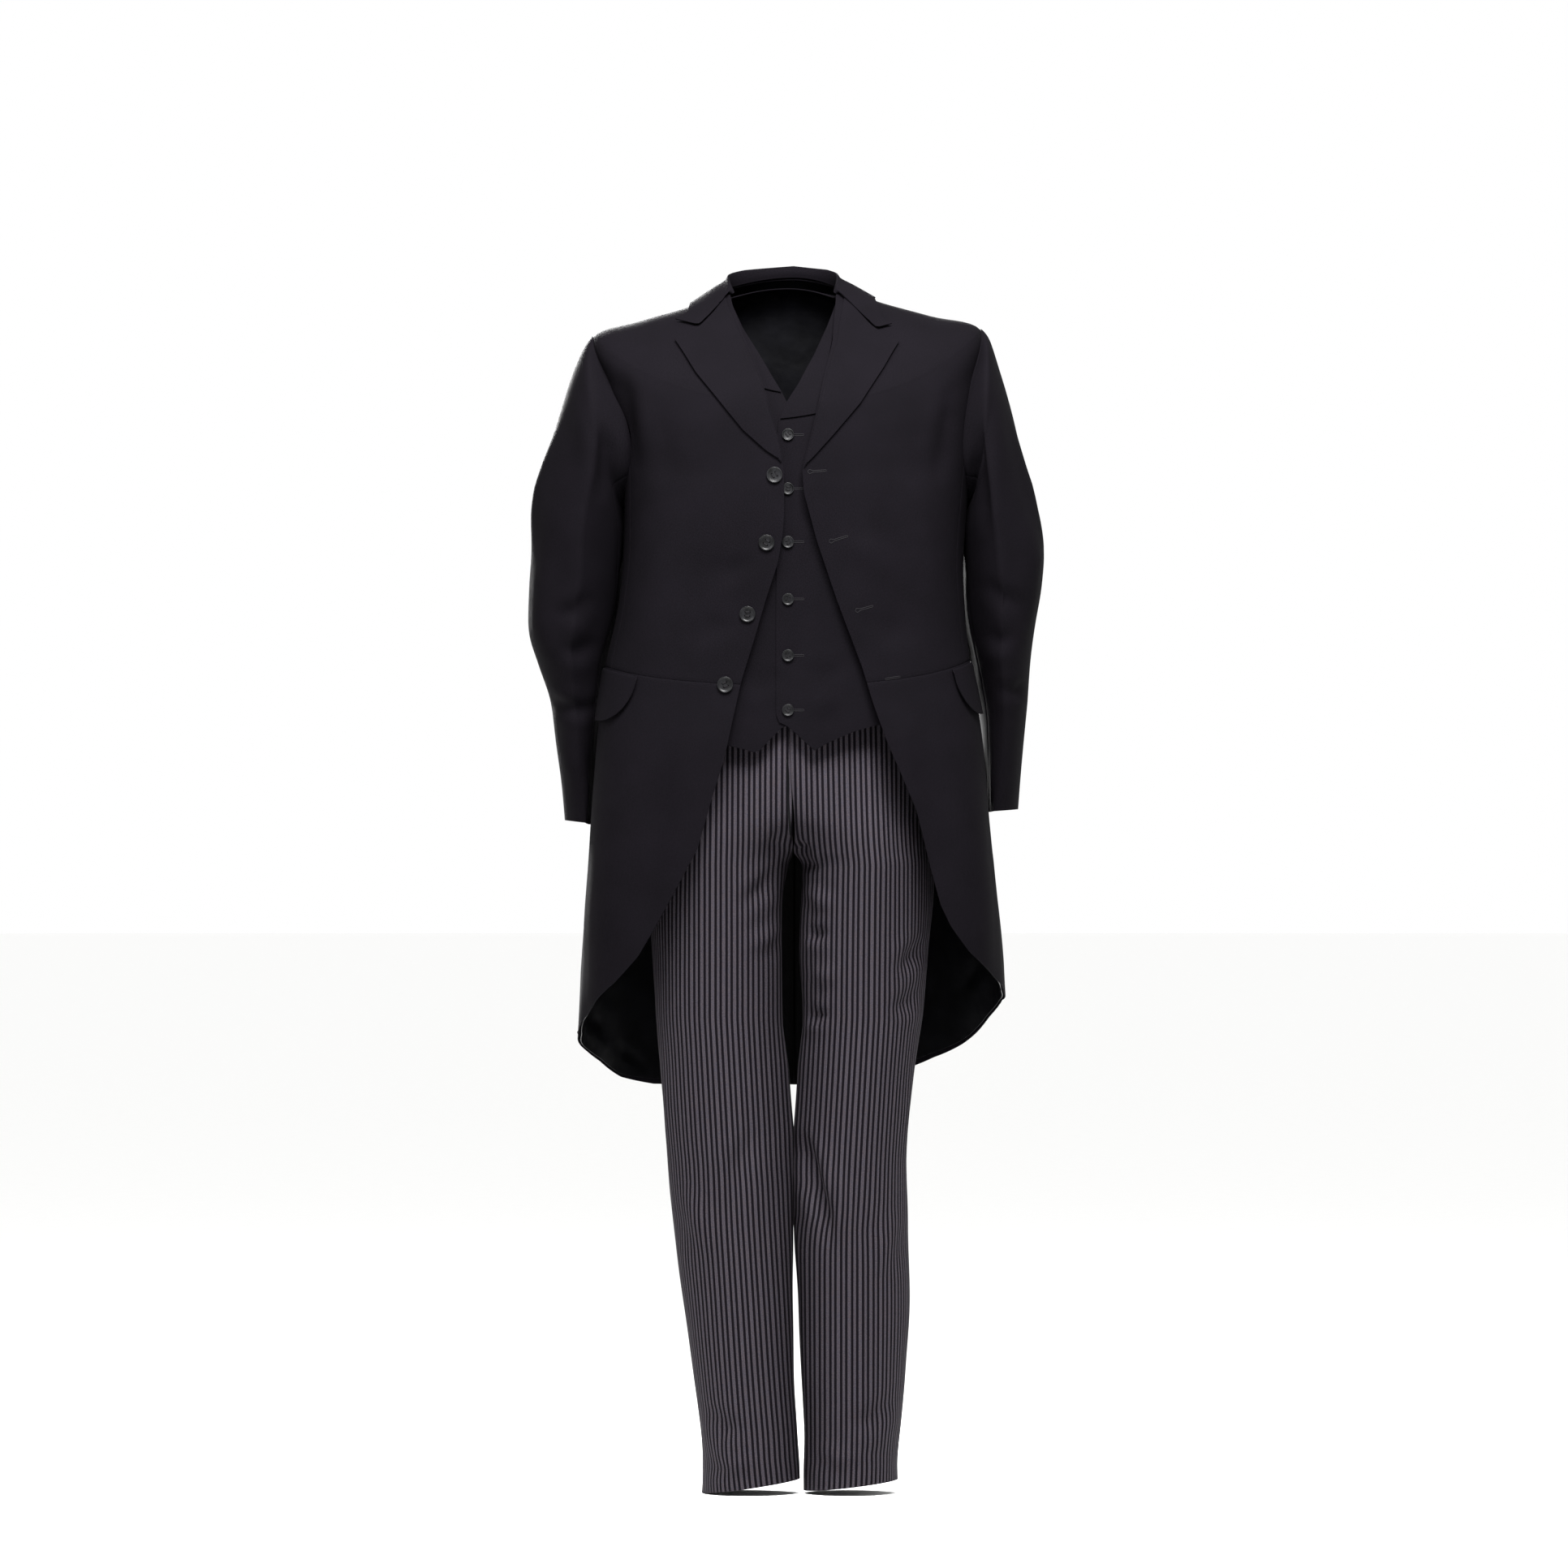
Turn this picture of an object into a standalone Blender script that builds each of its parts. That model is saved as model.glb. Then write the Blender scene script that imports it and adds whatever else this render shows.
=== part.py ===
"""Three-piece morning suit, worn form with no wearer: cutaway coat, waistcoat and trousers.

Metres, +Z up, the front faces -Y. The origin is at the base of the neck, where the wearer's
shoulders hold the suit. Left and right are as seen from the front. Tables are in millimetres.
"""
import math

import bpy
import numpy as np

MM = 0.001
SUIT_NAME = "three_piece_morning_suit"

# Cloth walls and the gaps between pieces
COAT_WALL = 1.3 * MM
VEST_WALL = 1.2 * MM
TROUSER_WALL = 1.2 * MM
LINING_WALL = 1.0 * MM
SEAM_GAP = 0.7 * MM
LAID_GAP = 0.45 * MM

LEFT, RIGHT = -1, 1
SIDE_NAMES = {LEFT: "left", RIGHT: "right"}

# Rings of the coat, from the neck seam down to the tail hem
RING_COLUMNS = ("z_left", "z_right", "z_front", "z_back", "x_left", "x_right",
                "y_front", "y_mid", "y_back", "square")
COAT_MIDDLE = 8
COAT_RINGS = (
    (15, 16, -35, 30, -79, 68, -45, 30, 80, 0.00),
    (-8, -1, -75, 10, -125, 115, -80, 28, 100, 0.02),
    (-26, -20, -105, -20, -185, 182, -105, 22, 112, 0.03),
    (-47, -38, -135, -55, -246, 245, -120, 15, 120, 0.04),
    (-100, -95, -165, -105, -236, 245, -128, 10, 125, 0.05),
    (-155, -152, -195, -155, -222, 240, -132, 7, 127, 0.05),
    (-205, -203, -222, -205, -212, 235, -134, 5, 126, 0.05),
    (-250, -250, -252, -250, -207, 229, -135, 3, 123, 0.06),
    (-330, -330, -332, -330, -208, 223, -134, 0, 112, 0.06),
    (-400, -396, -404, -398, -216, 225, -131, -4, 104, 0.06),
    (-465, -457, -490, -455, -230, 231, -132, -8, 104, 0.06),
    (-553, -548, -566, -545, -240, 246, -139, -22, 124, 0.05),
    (-660, -655, -665, -655, -249, 256, -142, -30, 138, 0.05),
    (-765, -750, -770, -770, -257, 266, -142, -24, 146, 0.05),
    (-850, -818, -860, -888, -261, 272, -138, -10, 151, 0.05),
    (-928, -874, -930, -999, -266, 276, -130, 2, 155, 0.05),
)
# How far the tail hem has dropped, by the sine of the turn from the side
HEM_DROP = {
    LEFT: ((0, 0), (0.17, 0.15), (0.32, 0.32), (0.52, 0.56), (0.68, 0.85), (0.82, 0.98), (1, 1)),
    RIGHT: ((0, 0), (0.28, 0.13), (0.45, 0.30), (0.57, 0.45), (0.68, 0.58), (0.81, 0.72), (1, 1)),
}
SHOULDER_TIP, ARMHOLE_SEAM, WAIST, HEM = 3.0, 6.03, 10.0, 15.0
ARMHOLE_CENTRE, ARMHOLE_HALF, ARMHOLE_TURN = 5.0, 2.0, 28.0

# Front edges of the coat as drawn from the front: height, then x
COAT_EDGE = {
    LEFT: ((40, -74), (13, -74), (-12, -68), (-46, -56), (-74, -44), (-105, -32), (-144, -21),
           (-174, -12), (-198, -7), (-224, -4), (-275, -4), (-301, -6), (-336, -12), (-382, -27),
           (-430, -41), (-485, -58), (-530, -68), (-581, -79), (-632, -95), (-696, -113),
           (-748, -141), (-788, -163), (-831, -188), (-862, -214), (-886, -238), (-912, -260),
           (-928, -266)),
    RIGHT: ((42, 60), (7, 62), (-56, 57), (-101, 46), (-133, 39), (-170, 31), (-204, 22),
            (-219, 19), (-247, 21), (-307, 37), (-381, 62), (-466, 94), (-512, 108), (-562, 126),
            (-617, 150), (-649, 164), (-696, 176), (-767, 194), (-793, 206), (-824, 227),
            (-843, 246), (-855, 260), (-868, 273), (-874, 276)),
}

# Turn of the side seam and of the side-back seam, by level
SIDE_SEAM_TURN = ((ARMHOLE_SEAM, 24), (WAIST, 20))
BACK_SEAM_TURN = ((ARMHOLE_SEAM, -24), (7, -34), (8, -50), (9, -62), (WAIST, -70), (12, -67), (HEM, -60))
VENT_LAP_TURN = 7.0
# Columns of points across the panels; a skirt's meet the front's and the side body's at the waist
FRONT_COLUMNS, SIDE_BODY_STEPS, BACK_COLUMNS = 7, 5, 6
SIDE_BODY_TOP_TURN = 24.0

# Lapels as drawn from the front: the gorge from the roll line out, then the outer edge
LAPEL_TOP = {LEFT: ((1, -78), (-18, -92), (-37, -109), (-44, -120), (-55, -142)),
             RIGHT: ((1, 72), (-15, 87), (-36, 105), (-48, 120), (-58, 141))}
LAPEL_OUTER = {LEFT: ((-55, -142), (-97, -115), (-133, -85), (-168, -56), (-194, -27), (-206, -9)),
               RIGHT: ((-58, 141), (-90, 122), (-135, 92), (-170, 62), (-200, 35), (-212, 23))}
LAPEL_ROWS = 9

# Collar: its end on each side, from the fold out to the tip, as drawn from the front
COLLAR_END = {LEFT: ((6, -76), (-14, -93), (-36, -113), (-29, -141)),
              RIGHT: ((6, 67), (-12, 87), (-40, 114), (-35, 132))}
# Collar from each end round to the back: turn, height of the fold and level that the fall reaches
COLLAR_COLUMNS = ("turn", "fold_height", "fall_level")
COLLAR_LINE = {LEFT: ((38, 14, 1.00), (0, 32, 0.90), (-40, 40, 1.15), (-90, 46, 1.35)),
               RIGHT: ((38, 14, 1.00), (0, 33, 0.87), (-40, 41, 1.15), (-90, 46, 1.35))}
# The fall's two middle rows, as shares of its way out and down from the fold
COLLAR_FALL_ROWS = ((0.10, 0.20), (0.45, 0.50))
COLLAR_LIFT = 3.3 * MM
COLLAR_STAND_IN, COLLAR_FOLD_IN = 3.4 * MM, 4 * MM
COLLAR_STEPS = 20

# Sleeve rings: the outer and inner ends, the front and back, and how far the inner end is set back
SLEEVE_COLUMNS = ("x_outer", "z_outer", "x_inner", "z_inner", "y_front", "y_back", "tuck")
SLEEVE_RINGS = {
    LEFT: ((-259, -64, -212, -264, -84, 92, 14), (-274, -100, -210, -282, -86, 95, 25),
           (-292, -156, -203, -308, -84, 97, 45), (-311, -212, -199, -334, -80, 98, 58),
           (-322, -262, -198, -358, -74, 99, 62), (-324, -315, -200, -388, -66, 100, 60),
           (-328, -370, -208, -424, -57, 103, 52), (-328, -420, -220, -462, -46, 108, 42),
           (-316, -462, -230, -498, -34, 114, 30), (-301, -508, -236, -534, -20, 122, 16),
           (-294, -560, -238, -576, -8, 130, 6), (-287, -612, -234, -620, 4, 136, 0),
           (-283, -660, -230, -666, 14, 141, 0)),
    RIGHT: ((257, -52, 235, -262, -84, 92, 14), (270, -92, 229, -280, -86, 95, 25),
            (286, -148, 221, -305, -84, 97, 45), (301, -208, 215, -332, -80, 98, 58),
            (314, -258, 213, -356, -74, 99, 62), (325, -312, 214, -388, -66, 100, 60),
            (323, -360, 219, -420, -57, 103, 52), (315, -410, 227, -452, -46, 108, 42),
            (309, -458, 237, -486, -34, 114, 30), (305, -510, 245, -524, -20, 122, 16),
            (301, -556, 248, -562, -8, 130, 6), (297, -604, 246, -606, 4, 136, 0),
            (294, -646, 242, -650, 14, 141, 0)),
}
SLEEVE_SEGMENTS = 16
SLEEVE_ARMHOLE_STEP = 1.9 * MM
SLEEVE_CLEARANCE = {"chest": 5 * MM, "flap": 10 * MM}
FORE_SEAM, HIND_SEAM = 6, 12
SLEEVE_SEAM_GAP = 1.4 * MM

# Hip flaps: where they start on each side, how far they run back and how deep they are
FLAP_START_X = {LEFT: -188, RIGHT: 207}
FLAP_END_TURN = -24
FLAP_DEPTH = 66
FLAP_LIFT_TOP, FLAP_LIFT_EDGE = 2.8 * MM, 5.5 * MM

# Tail lining: set back from the front edge, the waist seam, the hem and the vent
LINING_EDGE = 7 * MM
LINING_DROP = 12 * MM
LINING_CENTRE_GAP = 5 * MM
LINING_INSET = 3.3 * MM

# Rings of the waistcoat, from the neck down to the hem
VEST_MIDDLE = 4
VEST_RINGS = (
    (5, 5, -40, 18, -70, 58, -34, 30, 70, 0.00),
    (-6, -1, -80, 4, -115, 105, -66, 28, 91, 0.00),
    (-26, -20, -112, -31, -158, 152, -92, 22, 103, 0.02),
    (-95, -90, -150, -100, -180, 186, -110, 12, 106, 0.04),
    (-175, -172, -200, -175, -186, 196, -117, 6, 109, 0.04),
    (-265, -265, -268, -265, -190, 204, -121, 2, 108, 0.04),
    (-355, -355, -358, -355, -190, 203, -121, -2, 99, 0.04),
    (-450, -450, -452, -450, -196, 202, -120, -5, 92, 0.04),
    (-570, -570, -572, -570, -206, 212, -126, -12, 112, 0.04),
    (-600, -600, -602, -600, -209, 215, -128, -14, 116, 0.04),
)
VEST_STRAP, VEST_UNDERARM = 2.0, 5.0
VEST_ARMHOLE_TURN = {"front": 40.0, "back": -38.0}
VEST_EDGE = {
    LEFT: ((19, -76), (-6, -70), (-38, -56), (-70, -36), (-96, -21), (-117, -8), (-135, 1), (-149, 10),
           (-165, 18), (-525, 19), (-545, 19)),
    RIGHT: ((19, 68), (-12, 60), (-38, 50), (-75, 33), (-111, 13), (-133, -1), (-152, -10),
            (-164, -12), (-397, -14), (-521, -14), (-535, -8), (-539, -3)),
}
# Waistcoat hem as drawn from the front: x, then height
VEST_HEM = {
    LEFT: ((-210, -532), (-150, -545), (-73, -566), (-54, -570), (-38, -576), (-24, -560), (-3, -539),
           (30, -539)),
    RIGHT: ((-20, -533), (-3, -539), (6, -546), (20, -559), (34, -572), (49, -563), (65, -556), (84, -548),
            (112, -540), (216, -532)),
}
VEST_BACK_HEM = -530
VEST_LAP = 1.1 * MM
VEST_LAPEL_LEVELS = {LEFT: (0.15, 2.25), RIGHT: (0.15, 3.1)}
VEST_LAPEL_WIDTH = {LEFT: (20, 40), RIGHT: (20, 46)}

# Trouser rings: heights and x of the outer and inner ends, then depths and how far they sweep round
TROUSER_COLUMNS = ("z_outer", "z_inner", "x_outer", "x_inner", "y_mid", "y_front", "y_back",
                   "sweep_front", "sweep_back")
TROUSER_RINGS = {
    LEFT: ((-490, -490, -163, 2, 0, -104, 90.5, 90, 90), (-530, -530, -170, 2, 0, -108, 102.5, 90, 90),
           (-600, -600, -177, 4, 0, -110, 112, 90, 90), (-650, -650, -179, 7, 0, -108, 114, 106, 100),
           (-682, -682, -179, 7, 0, -106, 112, 138, 126), (-700, -700, -179, 7, 0, -105, 110, 163, 155),
           (-718, -718, -178, 1, 0, -104, 108, 180, 180), (-765, -760, -176, -6, 1, -100, 105, 180, 180),
           (-830, -830, -171, -7, 2, -94, 100, 180, 180), (-910, -910, -166, -6, 3, -88, 95, 180, 180),
           (-995, -995, -160, -2, 4, -84, 91, 180, 180), (-1080, -1080, -153, 3, 4, -81, 88, 180, 180),
           (-1175, -1175, -144, 7, 4, -79, 86, 180, 180), (-1267, -1267, -132, 7, 4, -77, 85, 180, 180),
           (-1360, -1360, -119, 8, 4, -76, 84, 180, 180), (-1435, -1430, -109, 12, 4, -76, 83, 180, 180),
           (-1482, -1472, -107, 15, 4, -77, 83, 180, 180), (-1513, -1495, -108, 16, 4, -78, 83, 180, 180)),
    RIGHT: ((-490, -490, 170, 2, 0, -104, 90.5, 90, 90), (-530, -530, 178, 2, 0, -108, 102.5, 90, 90),
            (-600, -600, 185, 4, 0, -110, 112, 90, 90), (-650, -650, 187, 8, 0, -108, 114, 106, 100),
            (-682, -682, 187, 9, 0, -106, 112, 138, 126), (-700, -700, 187, 9, 0, -105, 110, 163, 155),
            (-718, -718, 187, 19, 0, -104, 108, 180, 180), (-765, -760, 185, 18, 1, -100, 105, 180, 180),
            (-830, -830, 178, 16, 2, -94, 100, 180, 180), (-910, -910, 171, 20, 3, -88, 95, 180, 180),
            (-995, -995, 160, 17, 4, -84, 91, 180, 180), (-1080, -1080, 152, 13, 4, -81, 88, 180, 180),
            (-1175, -1175, 153, 9, 4, -79, 86, 180, 180), (-1275, -1270, 155, 14, 4, -77, 85, 180, 180),
            (-1355, -1360, 150, 18, 4, -76, 84, 180, 180), (-1425, -1435, 144, 22, 4, -76, 83, 180, 180),
            (-1468, -1482, 140, 21, 4, -77, 83, 180, 180), (-1496, -1510, 140, 21, 4, -78, 83, 180, 180)),
}
TROUSER_COLUMNS_WIDE = 8
WAISTBAND_HEIGHT = 36
WAISTBAND_SEGMENTS = 12
FLY_ROWS = 4
FLY_TOP_GAP, FLY_WIDTH_CUT, FLY_INSET = 12 * MM, 20 * MM, 2.8 * MM

# Buttons: places as drawn from the front, sizes, and the tilt comes from the cloth
COAT_BUTTONS = ((-16, -225), (-26, -310), (-50, -400), (-78, -489))
VEST_BUTTONS = ((1, -174), (1, -242), (1, -309), (1, -381), (1, -452), (1, -521))
BACK_BUTTON_TURN, BACK_BUTTON_LEVEL = -66.0, 9.85
COAT_BUTTON = {"radius": 10 * MM, "height": 3.2 * MM, "rim": 2.4 * MM, "dish": 1.0 * MM}
VEST_BUTTON = {"radius": 7.5 * MM, "height": 2.8 * MM, "rim": 1.8 * MM, "dish": 0.8 * MM}
BUTTON_STEPS = 16

# Colour as linear values, roughness, metallic
COAT_CLOTH = ("coat_wool", (0.012, 0.011, 0.014, 1), 0.9, 0)
VEST_CLOTH = ("vest_wool", (0.011, 0.010, 0.013, 1), 0.9, 0)
TROUSER_CLOTH = ("trouser_wool", (0.075, 0.068, 0.078, 1), 0.92, 0)
LINING_CLOTH = ("lining_satin", (0.004, 0.004, 0.006, 1), 0.35, 0)
BUTTON_HORN = ("button_horn", (0.02, 0.02, 0.024, 1), 0.35, 0)


def table_at(rows, place):
    """Read a two-column table at a place, straight between its rows."""
    rows = sorted(rows)
    return np.interp(place, [row[0] for row in rows], [row[1] for row in rows])


def rings_at(rows, level):
    """Read a table of rings at any level, on a smooth curve through its rows."""
    rows = np.asarray(rows, float)
    level = np.clip(np.asarray(level, float), 0, len(rows) - 1)
    first = np.minimum(level.astype(int), len(rows) - 2)
    part = (level - first)[..., None]
    before, start = rows[np.maximum(first - 1, 0)], rows[first]
    end, after = rows[first + 1], rows[np.minimum(first + 2, len(rows) - 1)]
    slope_start, slope_end = (end - before) / 2, (after - start) / 2
    rise = end - start
    return (start + slope_start * part + (3 * rise - 2 * slope_start - slope_end) * part ** 2
            + (slope_start + slope_end - 2 * rise) * part ** 3)


def drop_share(side, turn, level, hemmed):
    """Share of a ring's height difference that is reached at a turn from the side."""
    sine = np.abs(np.sin(np.radians(turn)))
    if not hemmed:
        return sine ** 2
    near_hem = np.clip((level - WAIST) / 3, 0, 1)
    return (1 - near_hem) * sine ** 2 + near_hem * table_at(HEM_DROP[side], sine)


def body_point(rings, middle, side, turn, level, hemmed=False):
    """Point of a garment's form: turn is 0 at the side, 90 at the front and -90 at the back."""
    turn, level = np.broadcast_arrays(np.asarray(turn, float), np.asarray(level, float))
    ring = dict(zip(RING_COLUMNS, np.moveaxis(rings_at(rings, level), -1, 0)))
    angle, square = np.radians(turn), ring["square"]
    across = (np.cos(angle) - square * np.cos(3 * angle)) / (1 - square)
    along = (np.sin(angle) + square * np.sin(3 * angle)) / (1 - square)
    half = ring["x_right"] - middle if side == RIGHT else middle - ring["x_left"]
    depth = np.where(turn > 0, ring["y_mid"] - ring["y_front"], ring["y_back"] - ring["y_mid"])
    z_side = ring["z_right"] if side == RIGHT else ring["z_left"]
    z_end = np.where(turn > 0, ring["z_front"], ring["z_back"])
    x = middle + side * half * across
    y = ring["y_mid"] - depth * along
    z = z_side + (z_end - z_side) * drop_share(side, turn, level, hemmed)
    return np.stack([x, y, z], axis=-1) * MM


def raised(surface, first, second, out):
    """Point of a surface moved out along its normal; surface takes two numbers."""
    step = 1e-3
    point = surface(first, second)
    along = surface(first + step * 30, second) - surface(first - step * 30, second)
    down = surface(first, second + step) - surface(first, second - step)
    normal = np.cross(along, down)
    normal /= np.maximum(np.linalg.norm(normal, axis=-1, keepdims=True), 1e-12)
    return point + normal * np.asarray(out)[..., None]


def coat_surface(side):
    """The coat's form on one side, as a function of turn and level, with its normal out."""
    def surface(turn, level):
        return body_point(COAT_RINGS, COAT_MIDDLE, side, turn, level, hemmed=True)
    return surface


def vest_surface(side):
    """The waistcoat's form on one side, as a function of turn and level."""
    def surface(turn, level):
        return body_point(VEST_RINGS, VEST_MIDDLE, side, turn, level)
    return surface


def on_form(surface, side, turn, level, out=0.0):
    """Points on a form, moved out from it by a distance."""
    turn, level, out = np.broadcast_arrays(np.asarray(turn, float), np.asarray(level, float),
                                           np.asarray(out, float))
    return raised(surface, turn, level, out * side)


def turn_at_edge(surface, side, level, edge, highest=100.0):
    """Turn where a level meets an edge that is drawn from the front, found by halving."""
    low = np.zeros_like(level)
    high = np.full_like(level, highest)
    for _ in range(40):
        middle = (low + high) / 2
        point = surface(middle, level)
        outside = side * (point[..., 0] - table_at(edge, point[..., 2] / MM) * MM) > 0
        low, high = np.where(outside, middle, low), np.where(outside, high, middle)
    return (low + high) / 2


def find_from_front(surface, x, z, level, turn=60.0):
    """Turn and level of the point of a form that is seen at x and z from the front."""
    x, z = np.asarray(x, float), np.asarray(z, float)
    turn, level = np.full_like(x, turn), np.full_like(x, level)
    for _ in range(30):
        point = surface(turn, level)
        by_turn = (surface(turn + 0.01, level) - point) / 0.01
        by_level = (surface(turn, level + 0.001) - point) / 0.001
        miss_x, miss_z = x - point[..., 0], z - point[..., 2]
        scale = by_turn[..., 0] * by_level[..., 2] - by_level[..., 0] * by_turn[..., 2]
        turn = turn + np.clip((miss_x * by_level[..., 2] - by_level[..., 0] * miss_z) / scale, -6, 6)
        level = level + np.clip((by_turn[..., 0] * miss_z - miss_x * by_turn[..., 2]) / scale, -0.4, 0.4)
        turn, level = np.clip(turn, 1, 110), np.clip(level, 0, 15)
    return turn, level


def trimmed(grid, edges, gap=SEAM_GAP / 2):
    """Pull chosen edges of a grid of points in by half a seam gap."""
    grid = grid.copy()
    pulls = {"top": (grid[0], grid[1]), "bottom": (grid[-1], grid[-2]),
             "start": (grid[:, 0], grid[:, 1]), "end": (grid[:, -1], grid[:, -2])}
    for edge in edges:
        border, inside = pulls[edge]
        way = inside - border
        border += way / np.maximum(np.linalg.norm(way, axis=-1, keepdims=True), 1e-9) * gap
    return grid


def moved(grid, handed, distance):
    """Points of a grid moved along its own normals; handed is 1 or -1 and says which way is out."""
    along = np.gradient(grid, axis=1)
    down = np.gradient(grid, axis=0)
    normal = np.cross(along, down)
    normal /= np.linalg.norm(normal, axis=-1, keepdims=True)
    return grid + normal * handed * distance


def material(look):
    """Principled material from a name, colour, roughness and metallic value."""
    name, colour, roughness, metallic = look
    found = bpy.data.materials.get(name)
    if found:
        return found
    made = bpy.data.materials.new(name)
    made.use_nodes = True
    shader = made.node_tree.nodes["Principled BSDF"]
    shader.inputs["Base Color"].default_value = colour
    shader.inputs["Roughness"].default_value = roughness
    shader.inputs["Metallic"].default_value = metallic
    made.diffuse_color = colour
    return made


def cloth_piece(name, grid, wall, look, closed=False):
    """Cloth from a grid of points: an open sheet of quads with Solidify for its wall."""
    rows, columns = grid.shape[:2]
    last = columns if closed else columns - 1
    faces = []
    for row in range(rows - 1):
        for column in range(last):
            after = (column + 1) % columns
            faces.append((row * columns + column, row * columns + after,
                          (row + 1) * columns + after, (row + 1) * columns + column))
    mesh = bpy.data.meshes.new(name)
    mesh.from_pydata(grid.reshape(-1, 3).tolist(), [], faces)
    mesh.shade_smooth()
    mesh.materials.append(material(look))
    piece = bpy.data.objects.new(name, mesh)
    suit.objects.link(piece)
    thickness = piece.modifiers.new("wall", "SOLIDIFY")
    thickness.thickness = wall
    thickness.offset = 0
    thickness.use_even_offset = True
    thickness.use_quality_normals = True
    return piece


def spread(*stops):
    """Numbers from stop to stop, given as start, count, stop, count, stop and so on."""
    values = [stops[0]]
    for count, stop in zip(stops[1::2], stops[2::2]):
        values.extend(np.linspace(values[-1], stop, count + 1)[1:])
    return np.array(values)


BODY_LEVELS = spread(0.0, 3, SHOULDER_TIP, 4, ARMHOLE_SEAM, 4, WAIST)
SKIRT_LEVELS = spread(WAIST, 8, HEM)


def armhole_turn(level):
    """How far the armhole reaches forward of the side at a level."""
    height = np.clip((ARMHOLE_CENTRE - level) / ARMHOLE_HALF, -1, 1)
    return ARMHOLE_TURN * np.sqrt(1 - height ** 2)


def outer_turn(level, seam, forward):
    """Outer edge of a front or back: the shoulder seam, the armhole, then the side seam."""
    at_armhole = forward * armhole_turn(level)
    at_seam = table_at(seam, level)
    return np.where(level < SHOULDER_TIP, 0.0, np.where(level <= ARMHOLE_SEAM, at_armhole, at_seam))


def coat_fronts():
    """Fronts: from the roll line and cutaway edge out to the shoulder, armhole and side seam."""
    for side in (LEFT, RIGHT):
        surface = coat_surface(side)
        edge = turn_at_edge(surface, side, BODY_LEVELS, COAT_EDGE[side])
        outer = outer_turn(BODY_LEVELS, SIDE_SEAM_TURN, 1)
        share = np.linspace(0, 1, FRONT_COLUMNS)
        turn = edge[:, None] + (outer - edge)[:, None] * share
        level = np.broadcast_to(BODY_LEVELS[:, None], turn.shape)
        grid = trimmed(on_form(surface, side, turn, level), ("top", "bottom", "end"))
        cloth_piece(f"coat_front_{SIDE_NAMES[side]}", grid, COAT_WALL, COAT_CLOTH)


def coat_side_bodies():
    """Side bodies: from the low curve of the armhole down to the waist seam."""
    for side in (LEFT, RIGHT):
        surface = coat_surface(side)
        way = np.linspace(0, 1, SIDE_BODY_STEPS)[:, None]
        share = np.linspace(0, 1, SIDE_BODY_STEPS)
        armhole = SIDE_BODY_TOP_TURN * (1 - 2 * share)
        top = ARMHOLE_CENTRE + ARMHOLE_HALF * np.sqrt(1 - (armhole / ARMHOLE_TURN) ** 2)
        level = top + (WAIST - top) * way
        seam_level = ARMHOLE_SEAM + (WAIST - ARMHOLE_SEAM) * way
        start = table_at(SIDE_SEAM_TURN, seam_level)
        stop = table_at(BACK_SEAM_TURN, seam_level)
        turn = start + (stop - start) * share
        grid = trimmed(on_form(surface, side, turn, level), ("top", "bottom", "start", "end"))
        cloth_piece(f"coat_side_{SIDE_NAMES[side]}", grid, COAT_WALL, COAT_CLOTH)


def coat_backs():
    """Backs in one length from neck to tails, with a centre seam and, below the waist, a lapped vent."""
    levels = np.concatenate([BODY_LEVELS, SKIRT_LEVELS[1:]])
    for side in (LEFT, RIGHT):
        surface = coat_surface(side)
        outer = outer_turn(levels, BACK_SEAM_TURN, -1)
        lap = (side == LEFT) & (levels > WAIST + 0.01)
        centre = np.where(lap, -90.0 - VENT_LAP_TURN, -90.0)
        share = np.linspace(0, 1, BACK_COLUMNS)
        turn = centre[:, None] + (outer - centre)[:, None] * share
        level = np.broadcast_to(levels[:, None], turn.shape)
        lift = np.clip(levels - 9.0, 0, 1) * (COAT_WALL + LAID_GAP) * (side == LEFT)
        out = lift[:, None] * np.clip(1.4 - 1.6 * share, 0, 1)
        grid = trimmed(on_form(surface, side, turn, level, out), ("top", "start", "end"))
        cloth_piece(f"coat_back_{SIDE_NAMES[side]}", grid, COAT_WALL, COAT_CLOTH)


def skirt_shares(surface, side):
    """Columns of a skirt, set so that they meet the front's and the side body's at the waist seam."""
    edge = turn_at_edge(surface, side, np.array([WAIST]), COAT_EDGE[side])[0]
    side_seam = table_at(SIDE_SEAM_TURN, WAIST)
    back_seam = table_at(BACK_SEAM_TURN, WAIST)
    turns = np.concatenate([np.linspace(edge, side_seam, FRONT_COLUMNS),
                            np.linspace(side_seam, back_seam, SIDE_BODY_STEPS)[1:]])
    return (turns - edge) / (back_seam - edge)


def skirt_grid(side):
    """Points of a skirt: columns from the cutaway edge to the back seam, rows down to the hem."""
    surface = coat_surface(side)
    share = skirt_shares(surface, side)
    edge = turn_at_edge(surface, side, SKIRT_LEVELS, COAT_EDGE[side])
    pleat = table_at(BACK_SEAM_TURN, SKIRT_LEVELS)
    turn = edge[:, None] + (pleat - edge)[:, None] * share
    level = np.broadcast_to(SKIRT_LEVELS[:, None], turn.shape)
    return on_form(surface, side, turn, level)


def coat_skirts():
    """Skirts: from the cutaway edge round the hip to the back seam, down to the tail hem."""
    for side in (LEFT, RIGHT):
        grid = trimmed(skirt_grid(side), ("top", "end"))
        cloth_piece(f"coat_skirt_{SIDE_NAMES[side]}", grid, COAT_WALL, COAT_CLOTH)


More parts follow.
